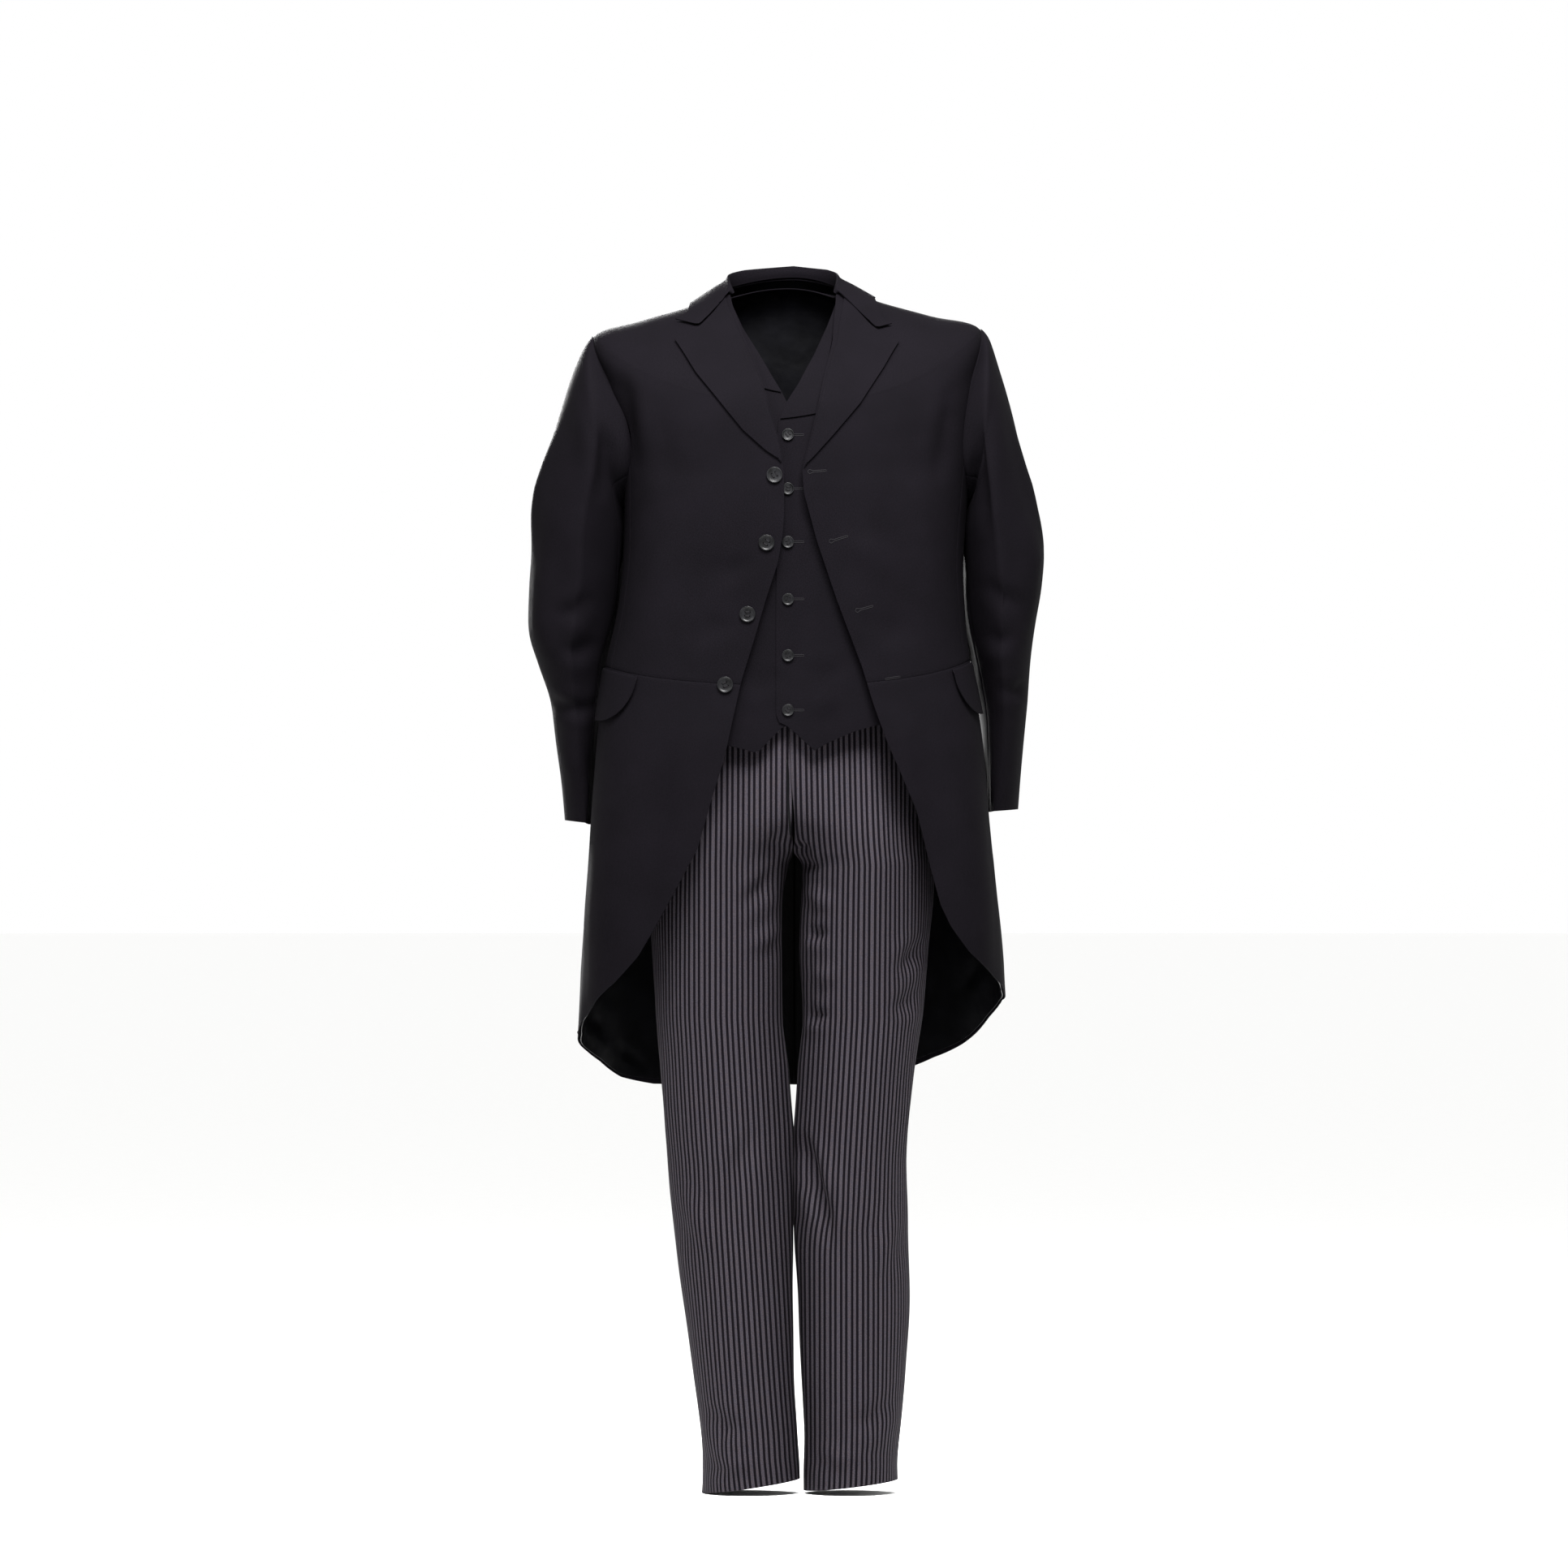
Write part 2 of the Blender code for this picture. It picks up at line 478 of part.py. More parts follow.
def tail_linings():
    """Tail linings: the skirt's and the back's own points moved in, set back from their edges."""
    for side in (LEFT, RIGHT):
        surface = coat_surface(side)
        pleat = table_at(BACK_SEAM_TURN, SKIRT_LEVELS)[:, None]
        turn = pleat + (-90 - pleat) * np.linspace(0, 1, BACK_COLUMNS)[1:]
        back = on_form(surface, side, turn, np.broadcast_to(SKIRT_LEVELS[:, None], turn.shape))
        grid = np.concatenate([skirt_grid(side), back], axis=1)
        grid = trimmed(grid, ("start",), LINING_EDGE)
        grid = trimmed(grid, ("end",), LINING_CENTRE_GAP)
        grid = trimmed(grid, ("top",), LINING_DROP)
        grid = trimmed(grid, ("bottom",), LINING_EDGE)
        cloth_piece(f"coat_lining_{SIDE_NAMES[side]}", moved(grid, -side, -LINING_INSET), LINING_WALL,
                    LINING_CLOTH)


def coat_lapels():
    """Lapels: laid on the fronts from the roll line out to the lapel's edge, a little proud at the edge."""
    for side in (LEFT, RIGHT):
        surface = coat_surface(side)
        way = np.linspace(0, 1, LAPEL_ROWS)
        top = np.array(LAPEL_TOP[side], float)
        outer_z = LAPEL_OUTER[side][0][0] + (LAPEL_OUTER[side][-1][0] - LAPEL_OUTER[side][0][0]) * way
        outer_x = table_at(LAPEL_OUTER[side], outer_z)
        roll_z = top[0, 0] + (outer_z[-1] - 4 - top[0, 0]) * way
        roll_x = table_at(COAT_EDGE[side], roll_z) + side * 1.5
        share = np.linspace(0, 1, len(top))
        fade = (1 - way[:, None]) ** 2
        x = roll_x[:, None] + (outer_x - roll_x)[:, None] * share
        z = roll_z[:, None] + (outer_z - roll_z)[:, None] * share
        x = x + fade * (top[:, 1] - x[0])
        z = z + fade * (top[:, 0] - z[0])
        guess = 1.0 + 5.2 * way[:, None] * np.ones_like(share)
        turn, level = find_from_front(surface, x * MM, z * MM, guess)
        out = COAT_WALL + LAID_GAP + 1.1 * MM + 2 * MM * np.sin(np.pi * share / 2) * (1 - 0.7 * way[:, None])
        grid = on_form(surface, side, turn, level, out)
        cloth_piece(f"coat_lapel_{SIDE_NAMES[side]}", grid, COAT_WALL, COAT_CLOTH)


def collar_end(side):
    """The collar's end on one side: points from the fold out to the tip, laid on the coat."""
    surface = coat_surface(side)
    points = np.array(COLLAR_END[side], float) * MM
    turn, level = find_from_front(surface, points[:, 1], points[:, 0], 0.8)
    return on_form(surface, side, turn, level, COAT_WALL + LAID_GAP + COLLAR_LIFT)


def collar_half(side, count):
    """One half of the collar, from its end to the back: rows foot, middle, fold, two of the fall, edge."""
    surface = coat_surface(side)
    end = collar_end(side)
    way = np.linspace(0, 1, count)
    turn = COLLAR_LINE[side][0][0] + (-90 - COLLAR_LINE[side][0][0]) * way
    fold_height = table_at([(row[0], row[1]) for row in COLLAR_LINE[side]], turn)
    fall_level = table_at([(row[0], row[2]) for row in COLLAR_LINE[side]], turn)
    neck = on_form(surface, side, turn, 0.0)
    inward = np.array([COAT_MIDDLE * MM, 0.030, 0]) - neck
    inward[:, 2] = 0
    inward /= np.linalg.norm(inward, axis=-1, keepdims=True)
    fold = neck + inward * COLLAR_FOLD_IN
    fold[:, 2] = fold_height * MM
    outer = on_form(surface, side, turn, fall_level, COAT_WALL + LAID_GAP + COLLAR_LIFT)
    rows = [fold] + [fold + (outer - fold) * np.array([out, out, down]) for out, down in COLLAR_FALL_ROWS]
    near_end = np.clip(1 - way * 3.2, 0, 1)[:, None] ** 1.6
    fall = np.array([row * (1 - near_end) + point * near_end for row, point in zip(rows + [outer], end)])
    foot = neck + inward * COLLAR_STAND_IN + np.array([0, 0, 2 * MM])
    foot = foot * (1 - near_end) + (fall[0] + inward * 5 * MM - np.array([0, 0, 1 * MM])) * near_end
    middle = (foot + fall[0]) / 2 + inward * 1.5 * MM
    return np.concatenate([foot[None], middle[None], fall])


def coat_collar():
    """Collar: a stand inside the neck that folds over into a fall on the shoulders and back."""
    left, right = (collar_half(side, COLLAR_STEPS // 2 + 1) for side in (LEFT, RIGHT))
    cloth_piece("coat_collar", np.concatenate([left, right[:, -2::-1]], axis=1), COAT_WALL, COAT_CLOTH)


def sleeve_rings(side):
    """Closed rings of points down a sleeve, from the armhole to the cuff."""
    surface = coat_surface(side)
    angle = np.radians(np.arange(SLEEVE_SEGMENTS) * 360 / SLEEVE_SEGMENTS)
    armhole = on_form(surface, side, ARMHOLE_TURN * np.sin(angle),
                      ARMHOLE_CENTRE - ARMHOLE_HALF * np.cos(angle), SLEEVE_ARMHOLE_STEP)
    rings = [armhole]
    for row in SLEEVE_RINGS[side]:
        ring = dict(zip(SLEEVE_COLUMNS, np.array(row) * MM))
        middle = np.array([ring["x_outer"] + ring["x_inner"], 0, ring["z_outer"] + ring["z_inner"]]) / 2
        middle[1] = (ring["y_front"] + ring["y_back"]) / 2
        across = np.array([ring["x_outer"] - ring["x_inner"], 0, ring["z_outer"] - ring["z_inner"]]) / 2
        deep = (ring["y_back"] - ring["y_front"]) / 2
        points = middle + np.cos(angle)[:, None] * across
        points[:, 1] += ring["tuck"] * np.maximum(-np.cos(angle), 0) - np.sin(angle) * deep
        rings.append(points)
    rings = np.array(rings)
    rings[1:] = clear_of_body(surface, side, rings[1:])
    return rings


def body_half_width(surface, side, y, z):
    """How far out the coat's body reaches at a depth and height, below the armholes."""
    levels = np.linspace(6.5, 13.0, 60)
    heights = surface(np.zeros_like(levels), levels)[:, 2]
    level = np.interp(-z, -heights, levels)
    turns = np.linspace(-80, 80, 81)
    points = surface(turns[:, None, None], level[None])
    near = np.abs(points[..., 1] - y[None])
    best = np.argmin(near, axis=0)
    reach = np.take_along_axis(points[..., 0], best[None], axis=0)[0]
    return side * reach


def clear_of_body(surface, side, rings):
    """Push a sleeve's points out where the coat's body or flap would touch them."""
    y, z = rings[..., 1], rings[..., 2]
    by_flap = np.clip((-0.40 - z) / 0.05, 0, 1)
    gap = SLEEVE_CLEARANCE["chest"] + by_flap * (SLEEVE_CLEARANCE["flap"] - SLEEVE_CLEARANCE["chest"])
    least = body_half_width(surface, side, y, z) + gap
    reach = side * rings[..., 0]
    below = z < -0.262
    rings[..., 0] = np.where(below & (reach < least), side * least, rings[..., 0])
    return rings


def sleeves():
    """Two-piece sleeves: a top sleeve outside and an under sleeve against the body."""
    for side in (LEFT, RIGHT):
        rings = sleeve_rings(side)
        closed = np.concatenate([rings, rings], axis=1)
        top_start, top_stop = HIND_SEAM, SLEEVE_SEGMENTS + FORE_SEAM
        top = trimmed(closed[:, top_start:top_stop + 1], ("start", "end"), SLEEVE_SEAM_GAP)
        under = trimmed(closed[:, FORE_SEAM:HIND_SEAM + 1], ("start", "end"), SLEEVE_SEAM_GAP)
        cloth_piece(f"coat_top_sleeve_{SIDE_NAMES[side]}", top, COAT_WALL, COAT_CLOTH)
        cloth_piece(f"coat_under_sleeve_{SIDE_NAMES[side]}", under, COAT_WALL, COAT_CLOTH)


def hip_flaps():
    """Hip flaps: rounded at both ends, hung from the waist seam and standing off at the lower edge."""
    for side in (LEFT, RIGHT):
        surface = coat_surface(side)
        level_top = WAIST + 0.03
        levels = np.linspace(WAIST, 11, 40)
        start = turn_at_x(surface, side, FLAP_START_X[side] * MM, level_top)
        share = np.linspace(0, 1, 7)
        turn = start + (FLAP_END_TURN - start) * share
        depth = np.maximum(FLAP_DEPTH * (1 - np.abs(1 - 2 * share) ** 2.6) ** 0.5, 5) * MM
        way = np.linspace(0, 1, 5)[:, None]
        drop = np.stack([surface(np.full_like(levels, one), levels)[:, 2] for one in turn])
        top_z = surface(turn, np.full_like(turn, level_top))[:, 2]
        bottom = np.array([np.interp(depth[i] - top_z[i], -drop[i], levels) for i in range(len(turn))])
        level = level_top + (bottom - level_top) * way
        lift = FLAP_LIFT_TOP + (FLAP_LIFT_EDGE - FLAP_LIFT_TOP) * way
        grid = on_form(surface, side, np.broadcast_to(turn, level.shape), level,
                       np.broadcast_to(lift, level.shape))
        cloth_piece(f"coat_flap_{SIDE_NAMES[side]}", grid, COAT_WALL, COAT_CLOTH)


def turn_at_x(surface, side, x, level):
    """Turn where a level reaches a given x on the front."""
    turns = np.linspace(0, 90, 181)
    reach = side * surface(turns, np.full_like(turns, level))[:, 0]
    return np.interp(-side * x, -reach, turns)


def level_at_height(surface, turn, z, first, last):
    """Level where a garment's form comes down to a height at a given turn."""
    levels = np.linspace(first, last, 80)
    heights = surface(np.full_like(levels, turn), levels)[:, 2]
    return np.interp(-z, -heights, levels)


def vest_outer_turn(level, which):
    """Outer edge of the waistcoat: the shoulder seam, the armhole, then the side seam."""
    height = np.clip((level - VEST_STRAP) / (VEST_UNDERARM - VEST_STRAP), 0, 1)
    return VEST_ARMHOLE_TURN[which] * np.sin(np.pi * height) ** 0.8


def vest_fronts():
    """Waistcoat fronts: the right one laps over the left, down to the pointed hem."""
    upper = spread(0.0, 2, VEST_STRAP, 4, VEST_UNDERARM)
    for side in (LEFT, RIGHT):
        surface = vest_surface(side)
        share = np.linspace(0, 1, 8)
        rows = []
        for level in upper:
            edge = turn_at_edge(surface, side, np.array([level]), VEST_EDGE[side])[0]
            outer = vest_outer_turn(level, "front")
            rows.append((edge + (outer - edge) * share, np.full_like(share, level)))
        for way in np.linspace(0, 1, 7)[1:]:
            rows.append(vest_low_row(surface, side, share, way))
        turn = np.array([row[0] for row in rows])
        level = np.array([row[1] for row in rows])
        lap = side * VEST_LAP * np.clip(1.6 - 2 * share, 0, 1) * np.clip(level - 1.3, 0, 1)
        grid = trimmed(on_form(surface, side, turn, level, lap), ("top", "end"))
        cloth_piece(f"vest_front_{SIDE_NAMES[side]}", grid, VEST_WALL, VEST_CLOTH)


def vest_low_row(surface, side, share, way):
    """One row of a waistcoat front below the armhole; the last row is the pointed hem."""
    turn = np.zeros_like(share)
    level = np.zeros_like(share)
    for column, part in enumerate(share):
        low_edge = level_at_height(surface, 88.0, -0.53, 5, 9)
        edge_level = VEST_UNDERARM + (low_edge - VEST_UNDERARM) * way
        edge = turn_at_edge(surface, side, np.array([edge_level]), VEST_EDGE[side])[0]
        one_turn = edge * (1 - part)
        x = surface(np.array(one_turn), np.array(7.8))[0] / MM
        bottom = level_at_height(surface, one_turn, table_at(VEST_HEM[side], x) * MM, 5, 9)
        turn[column] = one_turn
        level[column] = VEST_UNDERARM + (bottom - VEST_UNDERARM) * way
    return turn, level


def vest_back():
    """Waistcoat back: one piece from side seam to side seam, cut in at the armholes."""
    upper = spread(0.0, 2, VEST_STRAP, 4, VEST_UNDERARM)
    halves = []
    for side in (LEFT, RIGHT):
        surface = vest_surface(side)
        lowest = level_at_height(surface, 0.0, VEST_BACK_HEM * MM, 5, 9)
        levels = np.concatenate([upper, np.linspace(VEST_UNDERARM, lowest, 7)[1:]])
        outer = vest_outer_turn(np.minimum(levels, VEST_UNDERARM), "back")
        share = np.linspace(0, 1, 7)
        turn = outer[:, None] + (-90 - outer)[:, None] * share
        grid = on_form(surface, side, turn, np.broadcast_to(levels[:, None], turn.shape))
        halves.append(trimmed(grid, ("top", "start")))
    grid = np.concatenate([halves[0], halves[1][:, -2::-1]], axis=1)
    cloth_piece("vest_back", grid, VEST_WALL, VEST_CLOTH)


def vest_lapels():
    """Waistcoat lapels: laid on the fronts along the neckline."""
    for side in (LEFT, RIGHT):
        surface = vest_surface(side)
        first, last = VEST_LAPEL_LEVELS[side]
        narrow, wide = VEST_LAPEL_WIDTH[side]
        levels = np.linspace(first, last, 7)
        edge = turn_at_edge(surface, side, levels, VEST_EDGE[side])
        width = (narrow + (wide - narrow) * np.linspace(0, 1, 7)) * MM
        radius = np.linalg.norm(surface(edge, levels) - surface(edge - 1, levels), axis=-1)
        outer = edge - np.minimum(width / radius, (edge - 2) * 0.8)
        share = np.linspace(0, 1, 4)
        turn = edge[:, None] + (outer - edge)[:, None] * share - 0.4
        level = levels[:, None] + (0 * share - 0.12 * share) * np.linspace(0, 1, 7)[:, None]
        out = VEST_WALL + LAID_GAP + (VEST_LAP if side == RIGHT else -0.8 * MM) + 0.9 * MM
        grid = on_form(surface, side, turn, level, out)
        cloth_piece(f"vest_lapel_{SIDE_NAMES[side]}", grid, VEST_WALL, VEST_CLOTH)


def trouser_point(side, face, share, level):
    """Point of the trousers: face is 1 in front and -1 behind, share 0 at the side seam, 1 inside."""
    share, level = np.broadcast_arrays(np.asarray(share, float), np.asarray(level, float))
    ring = dict(zip(TROUSER_COLUMNS, np.moveaxis(rings_at(TROUSER_RINGS[side], level), -1, 0)))
    sweep = np.radians(ring["sweep_front"] if face > 0 else ring["sweep_back"])
    half = (ring["x_inner"] - ring["x_outer"]) / (1 - np.cos(sweep))
    depth = ring["y_mid"] - ring["y_front"] if face > 0 else ring["y_back"] - ring["y_mid"]
    angle = sweep * share
    across = (1 - np.cos(angle)) / (1 - np.cos(sweep))
    x = ring["x_outer"] + half * (1 - np.cos(angle))
    y = ring["y_mid"] - face * depth * np.sin(angle)
    z = ring["z_outer"] + (ring["z_inner"] - ring["z_outer"]) * across
    return np.stack([x, y, z], axis=-1) * MM


def trouser_legs():
    """Trouser fronts and backs: waist to hem, meeting at the side seams, inseams and centre seams."""
    levels = np.arange(len(TROUSER_RINGS[LEFT]))
    share = np.linspace(0, 1, TROUSER_COLUMNS_WIDE - 1)
    for side in (LEFT, RIGHT):
        for face, name in ((1, "front"), (-1, "back")):
            grid = trouser_point(side, face, share[None], levels[:, None])
            grid = trimmed(grid, ("top", "start", "end"))
            cloth_piece(f"trouser_{name}_{SIDE_NAMES[side]}", grid, TROUSER_WALL, TROUSER_CLOTH)


def trouser_waistband():
    """Waistband: a closed band above the trouser tops, hidden under the waistcoat."""
    share = np.linspace(0, 1, WAISTBAND_SEGMENTS // 2 + 1)
    ring = np.concatenate([
        trouser_point(LEFT, 1, share, 0), trouser_point(RIGHT, 1, share[::-1], 0)[1:],
        trouser_point(RIGHT, -1, share, 0)[1:], trouser_point(LEFT, -1, share[::-1], 0)[1:-1]])
    top = ring + np.array([0, 0, WAISTBAND_HEIGHT * MM])
    bottom = ring + np.array([0, 0, SEAM_GAP])
    cloth_piece("trouser_waistband", np.array([top, bottom]), TROUSER_WALL, TROUSER_CLOTH, closed=True)


def trouser_fly():
    """Fly facing: the right front's own points along the centre seam, moved in."""
    share = np.linspace(0, 1, TROUSER_COLUMNS_WIDE - 1)[-3:]
    grid = trouser_point(RIGHT, 1, share[None], np.arange(FLY_ROWS)[:, None])
    grid = trimmed(grid, ("top",), FLY_TOP_GAP)
    grid = trimmed(grid, ("start",), FLY_WIDTH_CUT)
    grid = trimmed(grid, ("end",), TROUSER_WALL)
    grid = moved(grid, RIGHT, -FLY_INSET)
    cloth_piece("trouser_fly", grid, TROUSER_WALL, TROUSER_CLOTH)


def button(name, size, place, normal):
    """Button turned from a profile with a rim and a dished face, placed on the cloth."""
    radius, height, rim, dish = size["radius"], size["height"], size["rim"], size["dish"]
    profile = ((0, height - dish), (radius - rim - 0.7 * MM, height - dish),
               (radius - rim * 0.6, height), (radius - 0.5 * MM, height * 0.8),
               (radius, height * 0.45), (radius * 0.7, 0), (0, 0))
    mesh = bpy.data.meshes.new(name)
    mesh.from_pydata([(x, 0, z) for x, z in profile], [(i, i + 1) for i in range(len(profile) - 1)], [])
    mesh.materials.append(material(BUTTON_HORN))
    piece = bpy.data.objects.new(name, mesh)
    suit.objects.link(piece)
    turned = piece.modifiers.new("turned", "SCREW")
    turned.steps = BUTTON_STEPS
    turned.render_steps = BUTTON_STEPS
    turned.use_merge_vertices = True
    turned.merge_threshold = 0.00005
    piece.location = place
    steep = math.acos(max(-1.0, min(1.0, normal[2])))
    heading = math.atan2(normal[1], normal[0])
    piece.rotation_euler = (0, steep, heading)
    return piece


def normal_at(surface, side, turn, level):
    """Outward direction of a form."""
    away = on_form(surface, side, turn, level, 0.001) - surface(turn, level)
    return away / np.linalg.norm(away)


def buttons():
    """Front buttons, waistcoat buttons and the two at the back waist."""
    coat, vest = coat_surface(LEFT), vest_surface(LEFT)
    for number, (x, z) in enumerate(COAT_BUTTONS, 1):
        turn, level = find_from_front(coat, np.array(x * MM), np.array(z * MM), 7.0 + number * 0.8)
        place = on_form(coat, LEFT, turn, level, COAT_WALL / 2 + 0.35 * MM)
        button(f"coat_button_{number}", COAT_BUTTON, place, normal_at(coat, LEFT, turn, level))
    for number, (x, z) in enumerate(VEST_BUTTONS, 1):
        turn, level = find_from_front(vest, np.array(x * MM), np.array(z * MM), 3.0 + number * 0.8, 85.0)
        place = on_form(vest, LEFT, turn, level, VEST_LAP + VEST_WALL / 2 + 0.3 * MM)
        button(f"vest_button_{number}", VEST_BUTTON, place, normal_at(vest, LEFT, turn, level))
    for number, side in enumerate((LEFT, RIGHT), 1):
        surface = coat_surface(side)
        out = COAT_WALL / 2 + 0.35 * MM + 0.4 * MM
        turn, level = np.array(BACK_BUTTON_TURN), np.array(BACK_BUTTON_LEVEL)
        place = on_form(surface, side, turn, level, out)
        button(f"coat_back_button_{number}", COAT_BUTTON, place, normal_at(surface, side, turn, level))


for old in list(bpy.data.objects):
    bpy.data.objects.remove(old, do_unlink=True)
suit = bpy.data.collections.new(SUIT_NAME)
bpy.context.scene.collection.children.link(suit)

coat_fronts()
coat_side_bodies()
coat_backs()
coat_skirts()
tail_linings()
coat_lapels()
coat_collar()
sleeves()
hip_flaps()
vest_fronts()
vest_back()
vest_lapels()
trouser_legs()
trouser_waistband()
trouser_fly()
buttons()
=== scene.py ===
"""Finished look of a worn, hollow three-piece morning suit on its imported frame.

Metres, +Z up, the front faces -Y. Left and right are as seen from the front. Tables are in millimetres.
"""

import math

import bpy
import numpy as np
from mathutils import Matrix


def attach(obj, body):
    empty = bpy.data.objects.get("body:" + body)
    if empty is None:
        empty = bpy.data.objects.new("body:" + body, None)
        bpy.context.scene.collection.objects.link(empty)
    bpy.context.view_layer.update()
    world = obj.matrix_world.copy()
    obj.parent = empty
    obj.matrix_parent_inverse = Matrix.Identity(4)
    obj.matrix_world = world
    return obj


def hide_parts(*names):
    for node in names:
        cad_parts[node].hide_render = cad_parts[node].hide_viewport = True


bl_info = {
    "name": "Morning Suit",
    "version": (1, 0, 0),
    "blender": (4, 5, 0),
    "location": "3D View > Sidebar > Suit",
    "description": "Makes the cloth, buttons, sewing and studio of a three-piece morning suit",
    "category": "Add Mesh",
}

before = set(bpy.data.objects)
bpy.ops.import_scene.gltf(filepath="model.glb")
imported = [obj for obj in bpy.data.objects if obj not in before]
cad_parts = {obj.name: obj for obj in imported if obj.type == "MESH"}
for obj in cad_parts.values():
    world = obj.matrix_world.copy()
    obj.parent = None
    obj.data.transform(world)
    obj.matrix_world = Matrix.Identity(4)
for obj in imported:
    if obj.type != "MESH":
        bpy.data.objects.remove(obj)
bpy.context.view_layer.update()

MM = 0.001
BODY = "root"
LEFT, RIGHT = -1, 1
SIDE_NAMES = {LEFT: "left", RIGHT: "right"}
BOTH = (LEFT, RIGHT)
# Cloth walls and the gaps between pieces
COAT_WALL = 1.3 * MM
VEST_WALL = 1.2 * MM
TROUSER_WALL = 1.2 * MM
LINING_WALL = 1.0 * MM
SEAM_GAP = 0.1 * MM
LAID_GAP = 0.45 * MM

# Rings of the coat, from the neck seam down to the tail hem; a ring's number is its level
RING_COLUMNS = ("z_left", "z_right", "z_front", "z_back", "x_left", "x_right",
                "y_front", "y_mid", "y_back", "square")
COAT_MIDDLE = 8
COAT_RINGS = (
    (15, 16, -35, 30, -79, 68, -45, 30, 80, 0.00),
    (-8, -1, -75, 10, -125, 115, -80, 28, 100, 0.02),
    (-26, -20, -105, -20, -185, 182, -105, 22, 112, 0.03),
    (-47, -38, -135, -55, -246, 245, -120, 15, 120, 0.04),
    (-100, -95, -165, -105, -236, 245, -128, 10, 125, 0.05),
    (-155, -152, -195, -155, -222, 240, -132, 7, 127, 0.05),
    (-205, -203, -222, -205, -212, 235, -134, 5, 126, 0.05),
    (-250, -250, -252, -250, -207, 229, -135, 3, 123, 0.06),
    (-330, -330, -332, -330, -208, 223, -134, 0, 112, 0.06),
    (-400, -396, -404, -398, -216, 225, -131, -4, 104, 0.06),
    (-465, -457, -490, -455, -230, 231, -132, -8, 104, 0.06),
    (-553, -548, -566, -545, -240, 246, -139, -22, 124, 0.05),
    (-660, -655, -665, -655, -249, 256, -142, -30, 138, 0.05),
    (-765, -750, -770, -770, -257, 266, -142, -24, 146, 0.05),
    (-850, -818, -860, -888, -261, 272, -138, -10, 151, 0.05),
    (-928, -874, -930, -999, -266, 276, -130, 2, 155, 0.05),
)
# How far the tail hem has dropped, by the sine of the turn from the side
HEM_DROP = {
    LEFT: ((0, 0), (0.17, 0.15), (0.32, 0.32), (0.52, 0.56), (0.68, 0.85), (0.82, 0.98), (1, 1)),
    RIGHT: ((0, 0), (0.28, 0.13), (0.45, 0.30), (0.57, 0.45), (0.68, 0.58), (0.81, 0.72), (1, 1)),
}
# How far above the hem that drop fades in, in levels
HEM_DROP_WAY = 3
# Levels on the coat, and the armhole's middle level, half height and turn forward and back
SHOULDER_TIP, ARMHOLE_SEAM, WAIST, HEM = 3.0, 6.03, 10.0, 15.0
ARMHOLE_CENTRE, ARMHOLE_HALF, ARMHOLE_TURN = 5.0, 2.0, 28.0
ARMHOLE_OUT, ARMHOLE_TURNING = 1.9 * MM, 4 * MM

# Front edges of the coat as drawn from the front: height, then x
COAT_EDGE = {
    LEFT: ((40, -74), (13, -74), (-12, -68), (-46, -56), (-74, -44), (-105, -32), (-144, -21),
           (-174, -12), (-198, -7), (-224, -4), (-275, -4), (-301, -6), (-336, -12), (-382, -27),
           (-430, -41), (-485, -58), (-530, -68), (-581, -79), (-632, -95), (-696, -113),
           (-748, -141), (-788, -163), (-831, -188), (-862, -214), (-886, -238), (-912, -260),
           (-928, -266)),
    RIGHT: ((42, 60), (7, 62), (-56, 57), (-101, 46), (-133, 39), (-170, 31), (-204, 22),
            (-219, 19), (-247, 21), (-307, 37), (-381, 62), (-466, 94), (-512, 108), (-562, 126),
            (-617, 150), (-649, 164), (-696, 176), (-767, 194), (-793, 206), (-824, 227),
            (-843, 246), (-855, 260), (-868, 273), (-874, 276)),
}

# Turn of the side seam and of the side-back seam, by level
SIDE_SEAM_TURN = ((ARMHOLE_SEAM, 24), (WAIST, 20))
BACK_SEAM_TURN = ((ARMHOLE_SEAM, -24), (7, -34), (8, -50), (9, -62), (WAIST, -70), (12, -67),
                  (HEM, -60))
# The vent's lap: how far it turns past the middle and the level that it lifts from
VENT_LAP_TURN, VENT_LIFT_FROM = 7.0, 9.0
SIDE_BODY_TOP_TURN = 24.0

# Lapels as drawn from the front: the gorge from the roll line out, then the outer edge
LAPEL_TOP = {LEFT: ((1, -78), (-18, -92), (-37, -109), (-44, -120), (-55, -142)),
             RIGHT: ((1, 72), (-15, 87), (-36, 105), (-48, 120), (-58, 141))}
LAPEL_OUTER = {LEFT: ((-55, -142), (-97, -115), (-133, -85), (-168, -56), (-194, -27), (-206, -9)),
               RIGHT: ((-58, 141), (-90, 122), (-135, 92), (-170, 62), (-200, 35), (-212, 23))}
LAPEL_LIFT, LAPEL_ROLL = 1.1 * MM, 2 * MM

# Collar: its end on each side, from the fold out to the tip, as drawn from the front
COLLAR_END = {LEFT: ((6, -76), (-14, -93), (-36, -113), (-29, -141)),
              RIGHT: ((6, 67), (-12, 87), (-40, 114), (-35, 132))}
# Collar from each end round to the back: turn, height of the fold and level that the fall reaches
COLLAR_LINE = {LEFT: ((38, 14, 1.00), (0, 32, 0.90), (-40, 40, 1.15), (-90, 46, 1.35)),
               RIGHT: ((38, 14, 1.00), (0, 33, 0.87), (-40, 41, 1.15), (-90, 46, 1.35))}
# The fall's two middle rows, as shares of its way out and down from the fold
COLLAR_FALL_ROWS = ((0.10, 0.20), (0.45, 0.50))
COLLAR_LIFT = 3.3 * MM
COLLAR_STAND_IN, COLLAR_FOLD_IN = 3.4 * MM, 4 * MM
